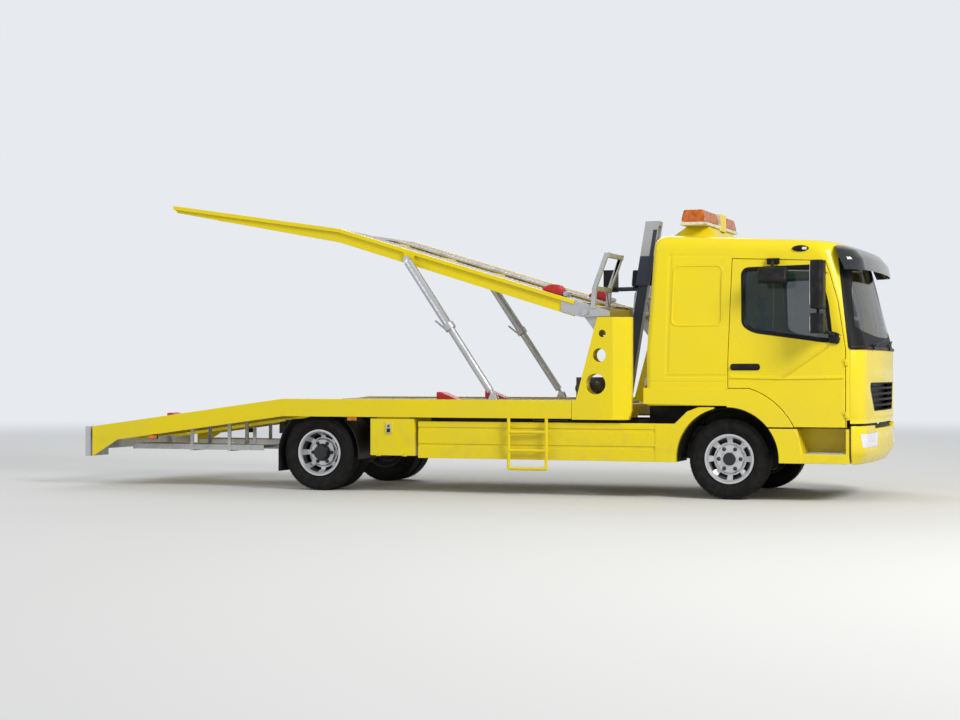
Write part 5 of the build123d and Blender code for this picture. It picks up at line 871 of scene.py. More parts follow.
def merged(name, pieces):
    """One piece from several of one body, each keeping its place and material."""
    materials = []
    for piece in pieces:
        materials += [finish for finish in piece.data.materials if finish not in materials]
    for piece in pieces:
        shift = [materials.index(finish) for finish in piece.data.materials]
        for face in piece.data.polygons:
            face.material_index = shift[face.material_index]
    mesh = joined([piece.data for piece in pieces])
    for finish in materials:
        mesh.materials.append(finish)
    for piece in pieces:
        bpy.data.objects.remove(piece)
    shaded(mesh)
    return new_piece(name, mesh)


WIPER_FOOT_Z = 1.425
BLADE_REACH = 0.34


def wiper(y_pivot, y_tip, z_tip):
    """A wiper: pivot, arm and a blade lying along the foot of the windscreen."""
    base, _ = cab_skin.front(y_pivot, WIPER_FOOT_Z)
    tip, _ = cab_skin.front(y_tip, z_tip)
    lift = Vector((0.018, 0, 0))
    half = (base + tip) / 2
    half = Vector((half.x + 0.022, (y_pivot + y_tip) / 2, (WIPER_FOOT_Z + z_tip) / 2 + 0.01))
    way = 1 if y_tip > y_pivot else -1
    spine = []
    edge = []
    for k in range(9):
        off = k / 8 - 0.5
        hit, normal = cab_skin.front(y_tip + off * 2 * BLADE_REACH, z_tip + off * 0.05 * way)
        spine.append(hit + normal * 0.016)
        edge.append(hit + normal * 0.006)
    return [tube([base - Vector((0.01, 0, 0)), base + lift, half, tip + lift], 0.007, BLACK_PLASTIC, smooth=True),
            tube(spine, 0.006, BLACK_PLASTIC), tube(edge, 0.003, BLACK_RUBBER, 4),
            tube([base - Vector((0.02, 0, 0)), base + Vector((0.028, 0, 0.004))], 0.018, BLACK_PLASTIC, 12)]


fixed_to(merged("wipers", wiper(-0.72, -0.38, 1.478) + wiper(0.10, 0.46, 1.482)), "cab")


CORNER_X = fore(3880)
CORNER_Y = 0.870
CORNER_STEP = 6.5
FRONT_Y = 0.86


def round_nose(skin, z, inset, rear_x):
    """Points round the nose at a height, drawn in by inset, and their outward directions. Rays
    come in towards each corner's middle, and straight from ahead between the corners."""
    rays = []
    for k in range(13):
        turn = math.radians(90 - CORNER_STEP * k)
        way = Vector((math.cos(turn), -math.sin(turn), 0))
        rays.append((Vector((CORNER_X, -CORNER_Y, z)) + way * 2, -way))
    rays += [(Vector((7, -FRONT_Y + 2 * FRONT_Y * k / 26, z)), Vector((-1, 0, 0))) for k in range(27)]
    rays += [(Vector((start.x, -start.y, z)), Vector((way.x, -way.y, 0))) for start, way in reversed(rays[:13])]
    path = []
    outward = []
    for start, way in rays:
        hit, normal = skin.met(start, way)
        if hit is None or hit.x < rear_x or (path and (hit - path[-1]).length < 0.006):
            continue
        normal = Vector((normal.x, normal.y, 0)).normalized()
        path.append(hit - normal * inset)
        outward.append(normal)
    return path, outward


# The cowl under the windscreen is a black louvred strip.
COWL_SECTION = ((-0.0135, -0.004), (-0.0135, 0.010), (-0.004, 0.016), (0.0135, 0.012), (0.0135, -0.004))
path, outward = round_nose(cab_skin, 1.4255, 0, fore(3904))
fixed_to(moulding("screen_cowl", path, outward, COWL_SECTION, BLACK_PLASTIC), "cab")


# Mirrors and handles: black moulded heads on a bar, with silvered glass at the back, a small
# kerb mirror over the right-hand window and a pull handle on each door.

def mirror_silver():
    silver = Finish("mirror_silver", metallic=1.0, base=(0.82, 0.84, 0.85))
    smear = silver.grain(0.05, 4).ramp(0.5, 0.9)
    return silver.fill(roughness=0.03 + smear * 0.08).material


def plate_on(corners, radius, x_front, thickness, material):
    """A rounded plate across the truck, given by Y and Z corners and the X of its front face."""
    loop = rounded_loop(corners, radius, 1.0)
    return facing_out(lofted([[(x, p.x, p.y) for p in loop] for x in (x_front, x_front - thickness)]), material, 30)


def set_at(mesh, place, degrees, axis):
    """Turn a form made at the origin and move it to its place."""
    mesh.transform(Matrix.Translation(place) @ Matrix.Rotation(math.radians(degrees), 4, axis))
    return mesh


def bevelled(mesh, edge, segments):
    """A mesh with all its edges rounded."""
    work = opened(mesh)
    bmesh.ops.bevel(work, geom=work.edges[:], offset=edge, segments=segments, profile=0.6, affect="EDGES")
    return mesh_from(work, mesh)


MIRROR_SILVER = mirror_silver()
MIRROR_BACK = fore(3585) + 0.001
# columns: X and Z of the handle's corners in millimetres
HANDLE = ((2795, 1222), (3070, 1222), (3070, 1278), (2795, 1278))
HANDLE_SECTION = ((-0.004, -0.001), (-0.002, 0.003), (0.012, 0.003), (0.014, -0.001))
for word, side in SIDES:
    door = "door_" + word
    finished("mirrors_" + word, BLACK_PLASTIC, door, "black_plastic", edge=0.010, rounds=3, sharp=35)
    glasses = []
    # columns: lowest and highest Z of each mirror glass
    for low, high in ((1.812, 2.195), (1.578, 1.718)):
        corners = [(side * y, z) for y, z in ((1.205, low), (1.365, low), (1.365, high), (1.205, high))]
        glasses.append(plate_on(corners, 0.03, MIRROR_BACK, 0.004, MIRROR_SILVER))
    fixed_to(merged("mirror_glass_" + word, glasses), door)
    loop = rounded_loop([spot(x, 0, z).xz for x, z in HANDLE], 0.025, 0.04)
    path, outward = Skin(door).trace(loop, side)
    middle = Vector((fore(2932), path[0].y, 1.25))
    rim = moulding("handle_rim_" + word, path, outward, HANDLE_SECTION, BLACK_PLASTIC, closed=True, middle=middle)
    fixed_to(rim, door)

KERB_ARM = [spot(3190, -1042, 2245), spot(3195, -1110, 2230), spot(3205, -1190, 2160), spot(3215, -1240, 2110)]
KERB_FOOT = [(-1.050, 2.215), (-1.085, 2.205), (-1.085, 2.262), (-1.040, 2.268)]
kerb_head = bevelled(slab(-0.135, 0.135, -0.0375, 0.0375, -0.075, 0.075), 0.028, 4)
kerb_head = set_at(kerb_head, spot(3222, -1262, 2095), -28, "X")
kerb = [tube(KERB_ARM, 0.016, BLACK_PLASTIC, 12, smooth=True),
        plate_on(KERB_FOOT, 0.008, fore(3250), 0.115, BLACK_PLASTIC),
        facing_out(kerb_head, BLACK_PLASTIC, 30)]
fixed_to(merged("kerb_mirror", kerb), "door_right")


# Cab lamps: headlamp units with bright bowls behind clear covers, side marker pods on the roof
# sides, and the grille and visor in smoked and black plastic.

def lamp_cover():
    cover = Finish("lamp_cover", coat=1.0, coat_roughness=0.02, roughness=0.10, metallic=0.5)
    flute = (cover.along("Y") * 420.0).maths("SINE")
    haze = cover.grain(0.04, 2).ramp(0.35, 0.7)
    # The covers glow faintly blue-white: a painted glint of the sun, since the headlamps are not lit.
    cover.fill(base=cover.tint(haze, (0.92, 0.93, 1.0), (0.74, 0.76, 0.86)), alpha=0.74 + haze * 0.2,
               glow=(0.90, 0.90, 1.0), glow_strength=0.18)
    return cover.bump(flute, 0.0008, 0.6).material


def lens(name, colour, pitch, clear=0.0):
    """A fluted lens whose ribs cross at a pitch."""
    shade = Finish(name, coat=0.35, coat_roughness=0.04, roughness=0.22, specular=0.35)
    turn = 2 * math.pi / pitch
    rows = (shade.along("Z") * turn).maths("SINE")
    columns = ((shade.along("X") + shade.along("Y")) * turn).maths("SINE")
    deep = tuple(c * 0.45 for c in colour)
    shade.fill(base=shade.tint(shade.grain(0.05, 2).ramp(0.35, 0.75), colour, deep), alpha=1 - clear)
    return shade.bump(rows * columns, pitch * 0.10, 0.6).material


LAMP_BOWL = Finish("lamp_bowl", metallic=1.0, base=(0.80, 0.81, 0.82), roughness=0.10)
LAMP_BOWL = LAMP_BOWL.grained(0.012, 1, 0.0008, 0.5).material
LAMP_COVER = lamp_cover()
AMBER = lens("amber_lens", (0.72, 0.20, 0.006), 0.008)
RED_LENS = lens("red_lens", (0.42, 0.012, 0.010), 0.008)
WHITE_LENS = lens("white_lens", (0.70, 0.70, 0.68), 0.006)

finished("headlights", LAMP_COVER, "chassis", "clear_lens", name="headlamp_covers")
# columns: distance behind the cover, radius of a bulb
BULB = ((-0.05, POINT), (-0.048, 0.007), (-0.026, 0.008), (-0.018, 0.005), (-0.016, POINT))
bowls = []
for word, side in SIDES:
    # columns: Y and Z of a bowl's middle, its radius
    for y, z, radius in ((0.70, 0.578, 0.050), (0.82, 0.574, 0.046)):
        hit, _ = Skin("headlights").front(side * y, z)
        bowl = ((0.0, radius), (-0.012, radius * 0.98), (-0.030, radius * 0.80), (-0.045, radius * 0.50),
                (-0.052, 0.012), (-0.052, POINT))
        for profile, turns in ((bowl, 24), (BULB, 12)):
            cup = set_at(turned(profile, turns), (hit.x - 0.010, side * y, z), -90, "Z")
            bowls.append(facing_out(cup, LAMP_BOWL, 60))
fixed_to(merged("headlamp_bowls", bowls), "chassis")


# Y of the lens's inner and outer edges at its foot and at its head
LENS_FOOT = (0.575, 1.012)
LENS_HEAD = (0.525, 1.040)
LENS_FOOT_Z = 0.506
LENS_HEIGHT = 0.132
LENS_DROP = 0.006


def lens_patch(side):
    """The lamp's outer lens: a sheet laid over the bumper's curve."""
    skin = Skin("front_bumper", "headlights")
    rows = []
    for v in (j / 6 for j in range(7)):
        row = []
        for u in (k / 16 for k in range(17)):
            at_foot, at_head = (inner + (outer - inner) * u for inner, outer in (LENS_FOOT, LENS_HEAD))
            y = at_foot * (1 - v) + at_head * v
            z = LENS_FOOT_Z + LENS_HEIGHT * v - LENS_DROP * u * v
            hits = [skin.front(side * (y + off), z)[0] for off in (0, 0.004, -0.004, 0.008)]
            hit = next(found for found in hits if found is not None)
            row.append((hit.x + 0.0015, side * (y + 0.0012), hit.z))
        rows.append(row)
    sheet = walled(new_piece("sheet", closed_up(lofted(rows, "open", tubular=False)), LAMP_COVER), 0.005, 0)
    closed_up(sheet.data)
    return settle(sheet, 50)


fixed_to(merged("headlamp_lenses", [lens_patch(side) for word, side in SIDES]), "chassis")

# A thin lip carries the front panel down towards the bumper, and a black strip stands on the bumper behind it and
# closes the air slot, lower where the cab's pivot ears pass while the cab tilts. The strip is painted shade: a dark
# sheet for the slot's shaded inside.
LIP_SECTION = ((-0.0185, -0.0055), (-0.0185, -0.0010), (-0.0170, 0.0004), (0.0185, 0.0004), (0.0185, -0.0055))
LIP_Z = 0.7465
STRIP_SECTION = ((-0.0245, -0.005), (-0.0245, 0.005), (0.0245, 0.005), (0.0245, -0.005))
STRIP_INSET = 0.042
STRIP_Z = 0.6995
STRIP_Z_AT_EARS = 0.6775
EARS_Y = (0.25, 0.41)
path, outward = round_nose(Skin("front_panel"), 0.780, 0, fore(3903))
for point in path:
    point.z = LIP_Z
fixed_to(moulding("panel_lip", path, outward, LIP_SECTION, PLAIN_YELLOW), "cab")
path, outward = round_nose(Skin("front_bumper"), 0.660, STRIP_INSET, fore(3930))
for point in path:
    point.z = STRIP_Z_AT_EARS if EARS_Y[0] < abs(point.y) < EARS_Y[1] else STRIP_Z
fixed_to(moulding("bumper_strip", path, outward, STRIP_SECTION, BLACK_RUBBER), "chassis")

# columns: X and Z of a door crease's two ends in millimetres
CREASES = ((3262, 1142, 3702, 1444), (3262, 1142, 3845, 1150), (2792, 1152, 3262, 1142))
CREASE_SECTION = ((-0.030, -0.0010), (-0.014, 0.0040), (0.004, 0.0100), (0.010, -0.0010))
for word, side in SIDES:
    skin = Skin("door_" + word)
    ridges = []
    for x0, z0, x1, z1 in CREASES:
        points = [spot(x0, 0, z0).lerp(spot(x1, 0, z1), k / 14).xz for k in range(15)]
        path, _ = skin.trace(points, side)
        below = (path[0] + path[-1]) / 2 + Vector((0, 0, -1))
        ridges.append(moulding("crease", path, [Vector((0, side, 0))] * len(path), CREASE_SECTION, DOOR_YELLOW,
                               middle=below))
    fixed_to(merged("door_creases_" + word, ridges), "door_" + word)

pods = []
for word, side in SIDES:
    hit, normal = cab_skin.side(fore(3441), 2.352, side)
    work = bmesh.new()
    bmesh.ops.create_uvsphere(work, u_segments=24, v_segments=12, radius=1.0)
    bmesh.ops.scale(work, vec=(0.078, 0.026, 0.030), verts=work.verts)
    bmesh.ops.translate(work, vec=hit + normal * 0.004, verts=work.verts)
    pods.append(facing_out(mesh_from(work), BLACK_PLASTIC, 60))
    front = slab(hit.x + 0.020, hit.x + 0.062, hit.y + normal.y * 0.018, hit.y + normal.y * 0.030,
                 hit.z - 0.012, hit.z + 0.012)
    pods.append(facing_out(front, WHITE_LENS, 30))
fixed_to(merged("roof_side_lamps", pods), "cab")


SMOKED_PLASTIC = worn("smoked_plastic", (0.006, 0.007, 0.009), (0.020, 0.021, 0.024), (0.2, 4, 0.4, 0.9), (0.07, 0.1),
                      (0.5, 1, 0.001, 0.3), solid=(0.90, 0.08), coat=1.0, coat_roughness=0.03, specular=0.6)
GRILLE_BLACK = speckled("grille_black", (0.006, 0.007, 0.012), (0.014, 0.015, 0.022), 0.05, 3, 0.5, 0.08)
finished("sun_visor", SMOKED_PLASTIC, "cab", "smoked_plastic", edge=0.0015)
finished("grille", GRILLE_BLACK, "cab", "black_plastic", edge=0.002)


# Beacon bar: two amber lens runs on a pale base with a plain yellow plate between them, and
# bright reflectors inside each run.

PLATE_HALF_WIDTH = 0.115
PALE_PLASTIC = worn("pale_plastic", (0.66, 0.65, 0.60), (0.38, 0.36, 0.31), (0.06, 4, 0.4, 0.85), (0.4, 0.2),
                    (0.002, 1, 0.0002, 0.4), specular=0.4)
BEACON_AMBER = lens("beacon_amber", (0.66, 0.15, 0.002), 0.022, 0.12)
low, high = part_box("beacon_lenses")
base = rounded_copy("beacon_base", PALE_PLASTIC, edge=0.005, rounds=3)
painted(base, PLAIN_YELLOW, lambda face: face.center.z > low.z + 0.004)
painted(base, PLAIN_YELLOW, lambda face: abs(face.center.y) < PLATE_HALF_WIDTH and face.normal.x > 0.5)
stand_for(base, "beacon_base", "cab")
finished("beacon_lenses", BEACON_AMBER, "cab", "amber_plastic", edge=0.006, rounds=3)
REFLECTOR = ((-0.045, POINT), (-0.045, 0.050), (0.0, 0.018), (0.045, 0.050), (0.045, POINT))
mirrors = []
for word, side in SIDES:
    for k in range(3):
        place = ((low.x + high.x) / 2, side * (0.24 + 0.185 * k), (low.z + high.z) / 2)
        mirrors.append(facing_out(set_at(turned(REFLECTOR, 16), place, 90, "X"), LAMP_BOWL, 40))
fixed_to(merged("beacon_mirrors", mirrors), "cab")


# Inside the cab: dark cloth seats with crowned cushions, a moulded dashboard and wheel.

WEAVE = 1400
SEAT_Y = 0.54
SEAT_X = fore(3010)
FLOOR_Z = 0.980


def seat_cloth():
    cloth = Finish("seat_cloth", sheen=0.3, specular=0.2)
    weft = (cloth.along("Z") * WEAVE + cloth.along("X") * WEAVE).maths("SINE")
    patch = cloth.grain(0.02, 3)
    cloth.fill(base=cloth.tint(patch.ramp(0.4, 0.7), (0.030, 0.032, 0.040), (0.060, 0.062, 0.072)),
               roughness=0.88 + patch * 0.08)
    return cloth.bump((cloth.along("Y") * WEAVE).maths("SINE") * weft, 0.0008, 0.5).material


def dash_plastic():
    dash = Finish("dash_plastic", specular=0.35)
    grain = dash.grain(0.05, 3)
    dash.fill(base=dash.tint(grain, (0.045, 0.046, 0.050), (0.070, 0.070, 0.074)), roughness=0.55 + grain * 0.15)
    return dash.grained(0.0022, 2, 0.0005, 0.7).material


SEAT_CLOTH = seat_cloth()
DASH_PLASTIC = dash_plastic()
for part in ("dashboard", "steering_wheel"):
    finished(part, DASH_PLASTIC, "cab", "dash_plastic", edge=0.004)


def cushion(name, corners, y, half_y):
    """A stuffed pad: a four-cornered section in X and Z run across the seat, crowned and rounded off."""
    a, b, c, d = (Vector((SEAT_X + x, FLOOR_Z + z)) for x, z in corners)
    rings = []
    for t in (i / 8 for i in range(9)):
        near = a.lerp(b, t)
        far = d.lerp(c, t)
        middle = (near + far) / 2
        across = [j / 5 - 1 for j in range(11)]
        ring = []
        for line, s in [(near, s) for s in across] + [(far, s) for s in reversed(across)]:
            crown = (1 - abs(2 * t - 1) ** 4) * (1 - abs(s) ** 4)
            place = middle + (line - middle) * (0.42 + 0.58 * crown ** 0.6)
            ring.append((place.x, y + s * half_y * (0.97 + 0.03 * crown), place.y))
        rings.append(ring)
    piece = new_piece(name, closed_up(lofted(rings, "strips")), SEAT_CLOTH)
    soft = piece.modifiers.new("soft", "SUBSURF")
    soft.levels = 2
    soft.render_levels = 2
    return settle(piece, 80)


# columns: name, section corners in X from the seat's middle and Z from the floor, half width
PADS = (("cushion", ((-0.240, 0.128), (0.272, 0.128), (0.275, 0.262), (-0.242, 0.232)), 0.246),
        ("backrest", ((-0.238, 0.215), (-0.292, 0.812), (-0.186, 0.824), (-0.106, 0.225)), 0.240),
        ("headrest", ((-0.286, 0.842), (-0.296, 1.000), (-0.212, 1.002), (-0.198, 0.840)), 0.134))
for word, y in (("driver", SEAT_Y), ("passenger", -SEAT_Y)):
    for label, corners, half in PADS:
        pad = cushion("seat_" + label + "_" + word, corners, y, half)
        stand_for(pad, "seats", "cab")
    plinth = slab(SEAT_X - 0.190, SEAT_X + 0.190, y - 0.200, y + 0.200, FLOOR_Z, FLOOR_Z + 0.138)
    stalk = [(SEAT_X - 0.245, y, FLOOR_Z + 0.76), (SEAT_X - 0.247, y, FLOOR_Z + 0.88)]
    seat_frame = merged("seat_frame_" + word, [facing_out(plinth, DASH_PLASTIC, 30),
                                               tube(stalk, 0.010, BLACK_PLASTIC)])
    stand_for(seat_frame, "seats", "cab")


# Deck steel: folded plate in gloss yellow, with galvanised tracks, stops, props and ramps. The
# tracks are non-slip plate, punched with raised rings.

RING_PITCH = 0.052
RING_SIDES = 6


def deck_yellow():
    paint = gloss_paint("deck_yellow", (0.755, 0.600, 0.004), 1.0, 0.12)
    scrape = paint.grain(0.05, 6, (0.25, 1, 3)).ramp(0.66, 0.74) * 0.35
    return paint.bump(paint.grain(0.006, 2) - scrape, 0.0004, 0.5).material


def galvanised():
    zinc = Finish("galvanised", metallic=0.80)
    spangle = zinc.add("ShaderNodeTexVoronoi", {"Vector": zinc.place, "Scale": 90.0}, 1, feature="F1")
    flake = zinc.add("ShaderNodeSeparateColor", {0: spangle}, 0)
    stain = zinc.grain(0.3, 5).ramp(0.45, 0.8)
    zinc.fill(base=zinc.tint(flake * 0.35 + stain * 0.35, (0.58, 0.59, 0.61), (0.32, 0.32, 0.33)),
              roughness=0.38 + flake * 0.14 + stain * 0.15)
    return zinc.grained(0.01, 3, 0.0004, 0.4).material


DECK_YELLOW = deck_yellow()
GALVANISED = galvanised()
TRACK_STEEL = worn("track_steel", (0.56, 0.54, 0.53), (0.34, 0.27, 0.24), (0.12, 6, 0.45, 0.75), (0.45, 0.3),
                   (0.004, 3, 0.0005, 0.6), share=0.6, metallic=0.55)
HOLE_SHADE = speckled("hole_shade", (0.010, 0.010, 0.010), (0.022, 0.020, 0.018), 0.01, 1, 0.9, 0.1)
for part in ("lower_deck_frame", "towers", "side_skirts", "toolboxes", "ladder"):
    finished(part, DECK_YELLOW, "chassis", "deck_yellow", edge=0.0025, fold=18 if part == "towers" else SHARP_ANGLE)
for word, side in SIDES:
    finished("toolbox_door_" + word, DECK_YELLOW, "toolbox_door_" + word, "deck_yellow")
    for pipe in ("prop_lower_" + word, "prop_upper_" + word):
        finished(pipe, GALVANISED, pipe, "galvanised", edge=0)
finished("upper_deck_frame", DECK_YELLOW, "upper_deck", "deck_yellow", edge=0.0025)
finished("upper_deck_floor", TRACK_STEEL, "upper_deck", "galvanised", edge=0.0015)
finished("wheel_stops", GALVANISED, "upper_deck", "galvanised")
finished("lower_deck_floor", TRACK_STEEL, "chassis", "galvanised", edge=0.0015)
for part in ("hinge_brackets", "rear_light_bar", "loading_ramps", "prop_feet"):
    finished(part, GALVANISED, "chassis", "galvanised", edge=0.002)


def punched_tree(name, material):
    """Geometry Nodes: an item repeated in rows over a sloping rectangle."""
    tree, given = repeater(name, Item="Object", Length="Float", Width="Float", Rows="Int", Columns="Int",
                           Middle="Vector", Slope="Float")
    grid = put(tree, "GeometryNodeMeshGrid",
               {"Size X": given["Length"], "Size Y": given["Width"], "Vertices X": given["Rows"],
                "Vertices Y": given["Columns"]})
    turn = put(tree, "ShaderNodeCombineXYZ", {1: given["Slope"]})
    item = put(tree, "GeometryNodeObjectInfo", {"Object": given["Item"]})
    copies = put(tree, "GeometryNodeInstanceOnPoints",
                 {"Points": grid.outputs["Mesh"], "Instance": item.outputs["Geometry"]})
    moved = put(tree, "GeometryNodeTransform",
                {"Geometry": copies.outputs[0], "Translation": given["Middle"], "Rotation": turn.outputs[0]})
    return realised(tree, moved, material)


def flat_circle(radius, z):
    return [(radius * c, radius * s, z) for c, s in around(RING_SIDES)]


PUNCHED = punched_tree("punched_rings", TRACK_STEEL)
# The holes are black discs: painted shade for the dark seen through them.
HOLES = punched_tree("punched_holes", HOLE_SHADE)
RING = lofted([flat_circle(0.0165, -0.0004), flat_circle(0.0135, 0.0035), flat_circle(0.0105, 0.0021)], "open")
HOLE = mesh_of(flat_circle(0.0112, 0.0010), [tuple(range(RING_SIDES))])


def punched_track(name, body, rear, front, y0, y1):
    """Raised rings and the painted shade in their holes along one length of track, on each side of the truck."""
    run = front - rear
    length = run.length - 0.06
    width = y1 - y0 - 0.05
    meshes = []
    for word, side in SIDES:
        middle = (rear + front) / 2
        middle.y = side * (y0 + y1) / 2
        for tree, mesh in ((PUNCHED, RING), (HOLES, HOLE)):
            meshes.append(new_piece("grip", grown_by(
                tree, mesh, Length=length, Width=width, Rows=int(length / RING_PITCH) + 1,
                Columns=int(width / RING_PITCH) + 1, Middle=middle, Slope=-math.atan2(run.z, run.x))))
    fixed_to(merged(name, meshes), body)


punched_track("lower_grip_flat", "chassis", spot(-1840, 0, 913), spot(1250, 0, 913), 0.420, 1.030)
punched_track("lower_grip_tail", "chassis", spot(-4066, 0, 611), spot(-1842, 0, 913), 0.420, 1.030)
punched_track("upper_grip_front", "upper_deck", spot(-1244, 0, 2652), spot(1242, 0, 1894), 0.420, 0.981)
punched_track("upper_grip_rear", "upper_deck", spot(-3116, 0, 2936), spot(-1248, 0, 2652), 0.420, 0.981)


# Lift mast: a column under a galvanised slotted head, with a work lamp on a bar behind it. The mast is galvanised
# down to the end of the slot; below that the column is dark blue-black, which is painted shade, and thin dark plates
# on the head's sides paint the shade in its slot.

MAST_SHADE_BLUE = (0.030, 0.038, 0.075)
SLOT_END_Z = 2.372
COLUMN_TOP_Z = 2.08
COLUMN_REAR_X = fore(1500)
LAMP_FRONT_X = fore(1430)


def mast_finish():
    metal = Finish("mast_metal")
    # Painted shade: the mast turns dark blue-black below the slot's end.
    lower = 1 - metal.along("Z").ramp(SLOT_END_Z, SLOT_END_Z + 0.006)
    flake = metal.grain(0.012, 2)
    zinc = metal.tint(flake, (0.58, 0.59, 0.61), (0.40, 0.40, 0.41))
    metal.fill(base=metal.tint(lower, zinc, MAST_SHADE_BLUE), metallic=0.80 - lower * 0.75,
               roughness=0.40 + flake * 0.15)
    return metal.grained(0.01, 3, 0.0004, 0.4).material


MAST_SHADE = gloss_paint("mast_shade", MAST_SHADE_BLUE, 0.3).material
mast = rounded_copy("lift_mast", mast_finish())
# Painted shade on the column's faces below its top.
painted(mast, MAST_SHADE, lambda face: face.center.z < COLUMN_TOP_Z and face.center.x > COLUMN_REAR_X)
painted(mast, BLACK_PLASTIC, lambda face: face.center.x < LAMP_FRONT_X)
stand_for(mast, "lift_mast", "chassis")

# The thin plates on each side of the head are painted shade in its slot.
# columns: outline in X and Z millimetres, nearest and farthest Y, finish
fittings = [(((1700, 2110), (1741, 2110), (1827, 2640), (1786, 2640)), side * 0.0845, side * 0.0862, MAST_SHADE)
            for word, side in SIDES]
fittings += [(((1560, 2070), (1622, 2070), (1634, 2235), (1572, 2235)), -0.075, 0.075, BLACK_PLASTIC),
             (((1552, 2085), (1561, 2085), (1571, 2222), (1562, 2222)), -0.062, 0.062, WHITE_LENS)]
uprights = []
for outline, y0, y1, material in fittings:
    rings = [[(fore(x), y, z / 1000) for x, z in outline] for y in (y0, y1)]
    uprights.append(facing_out(lofted(rings), material, 30))
fixed_to(merged("mast_fittings", uprights), "chassis")


# Lamps and small fittings on the side: amber marker lamps under the deck rail, the toolbox
# latches and the tail lamps on the rear bar.

def small_box(x0, x1, y0, y1, z0, z1, edge, material):
    """A box with rounded edges."""
    return facing_out(bevelled(slab(x0, x1, y0, y1, z0, z1), edge, 2), material, 35)


def box_pairs(name, rows, body):
    """Rounded boxes on both sides as one piece, from rows of X, Y and Z limits, edge radius and finish."""
    boxes = [small_box(x0, x1, side * y0, side * y1, z0, z1, edge, material)
             for word, side in SIDES for x0, x1, y0, y1, z0, z1, edge, material in rows]
    fixed_to(merged(name, boxes), body)


MARKER_Y = 1.148
markers = []
# columns: X and Z of each marker lamp's middle
for x, z in ((fore(-3350), 0.522), (fore(-1064), 0.732)):
    markers += [(x - 0.050, x + 0.050, MARKER_Y - 0.022, MARKER_Y, z - 0.017, z + 0.017, 0.005, AMBER),
                (x - 0.054, x + 0.054, MARKER_Y - 0.034, MARKER_Y - 0.018, z - 0.021, z + 0.028, 0.003,
                 BLACK_PLASTIC)]
box_pairs("side_markers", markers, "chassis")

LATCH_X = fore(-660)
LATCH_FACE_Y = 1.147
for word, side in SIDES:
    # columns: half width, depth, lowest and highest Z, edge radius and finish of plate, cup and key
    latch = [small_box(LATCH_X - half, LATCH_X + half, side * LATCH_FACE_Y, side * (LATCH_FACE_Y + depth),
                       z0, z1, edge, material)
             for half, depth, z0, z1, edge, material in (
                 (0.026, 0.004, 0.590, 0.690, 0.0015, GALVANISED), (0.018, 0.007, 0.602, 0.640, 0.002, BLACK_PLASTIC),
                 (0.010, 0.010, 0.652, 0.678, 0.002, CAST_IRON))]
    fixed_to(merged("toolbox_latch_" + word, latch), "toolbox_door_" + word)

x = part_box("rear_light_bar")[0].x
lamps = []
# columns: low and high Z of each row of tail lamps, and its lens in the middle
for z0, z1, middle_lens in ((0.340, 0.440, AMBER), (0.460, 0.600, WHITE_LENS)):
    lamps += [(x - 0.003, x + 0.010, y, y + 0.105, z0, z1, 0.006, glass)
              for y, glass in ((0.775, RED_LENS), (0.885, middle_lens), (0.995, RED_LENS))]
box_pairs("tail_lamps", lamps, "chassis")


# Loose and dark fittings: red wheel chocks, mudguards and flaps, boards, bulkhead, step treads. The boards, flaps and
# bulkhead are also painted shade.

RED_PLASTIC = worn("red_plastic", (0.50, 0.020, 0.022), (0.30, 0.020, 0.020), (0.04, 4, 0.4, 0.8), (0.38, 0.25),
                   (0.003, 2, 0.0004, 0.6), specular=0.4)
finished("wheel_chocks", RED_PLASTIC, "chassis", "red_paint", edge=0.008, rounds=3)
dress("rear_mudguards", BLACK_PLASTIC)

CHOCK_X = 1005
CHOCK_Y = 0.80
CHOCK_HALF_WIDTH = 0.085
CLAMP_HALF_LENGTH = Vector((0, 0.07, 0))
TRACK_REAR = spot(-1246, 0, 2652)
TRACK_FRONT = spot(1242, 0, 1894)
# columns: distance to the rear and height of the chock's outline
CHOCK = ((-0.060, 0.003), (0.150, 0.003), (0.150, 0.028), (0.085, 0.080), (0.010, 0.100), (-0.060, 0.060))


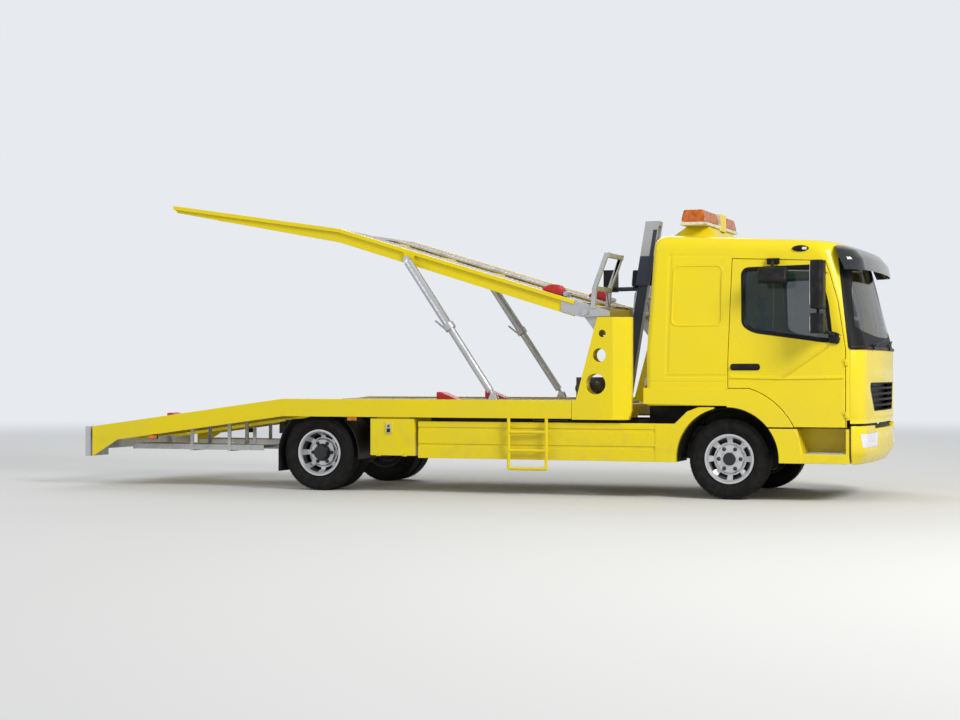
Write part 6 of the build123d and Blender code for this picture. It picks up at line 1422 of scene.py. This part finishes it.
def upper_chock(side):
    """A red wheel chock with a galvanised clamp in front of it, on the sloping upper track."""
    run = TRACK_REAR - TRACK_FRONT
    foot = TRACK_FRONT + run * ((fore(CHOCK_X) - TRACK_FRONT.x) / run.x)
    foot.y = side * CHOCK_Y
    rearward = run.normalized()
    up = Vector((rearward.z, 0, -rearward.x))
    rings = [[foot + rearward * a + up * h + Vector((0, across, 0)) for a, h in CHOCK]
             for across in (-CHOCK_HALF_WIDTH, CHOCK_HALF_WIDTH)]
    chock = facing_out(bevelled(closed_up(lofted(rings)), 0.016, 3), RED_PLASTIC, 35)
    middle = foot - rearward * 0.092 + up * 0.034
    return [chock,
            tube([middle - CLAMP_HALF_LENGTH, middle + CLAMP_HALF_LENGTH], 0.026, GALVANISED, 16),
            tube([middle - up * 0.030, middle + rearward * 0.05 - up * 0.006], 0.012, GALVANISED)]


fixed_to(merged("upper_chocks", upper_chock(RIGHT) + upper_chock(LEFT)), "upper_deck")

# Black boards hide the engine from the sides, and flaps carry the front wheel liners down; as dark sheets they also
# paint the shade of the space behind the front wheels.
# columns: rear and front X in millimetres, nearest and farthest Y, lowest and highest Z
BOARDS = ((1850, 3225, 0.470, 0.475, 0.700, 0.870), (2150, 3225, 0.470, 0.475, 0.360, 0.700),
          (2280, 2286, 0.720, 1.070, 0.354, 0.412), (3234, 3240, 0.720, 1.070, 0.354, 0.412))
boards = [(fore(x0), fore(x1), *limits, 0.001, BLACK_PLASTIC) for x0, x1, *limits in BOARDS]
box_pairs("wheel_arch_boards", boards, "chassis")

# A black bulkhead closes the cab behind the grille: a dark sheet that paints the shade behind the grille.
bulkhead = small_box(fore(3966), fore(3974), -0.860, 0.860, 0.822, 1.395, 0.002, BLACK_PLASTIC)
bulkhead.name = "cab_bulkhead"
fixed_to(bulkhead, "cab")

TREAD_REAR = fore(3490)
TREAD_FRONT = fore(3862)
treads = [(TREAD_REAR, TREAD_FRONT, 0.815, 1.092, 0.4465, 0.4520, 0.001, GALVANISED)]
for y in (0.84 + 0.029 * k for k in range(9)):
    treads.append((TREAD_REAR + 0.02, TREAD_FRONT - 0.02, y - 0.003, y + 0.003, 0.4515, 0.4550, 0.0008, GALVANISED))
box_pairs("step_treads", treads, "chassis")
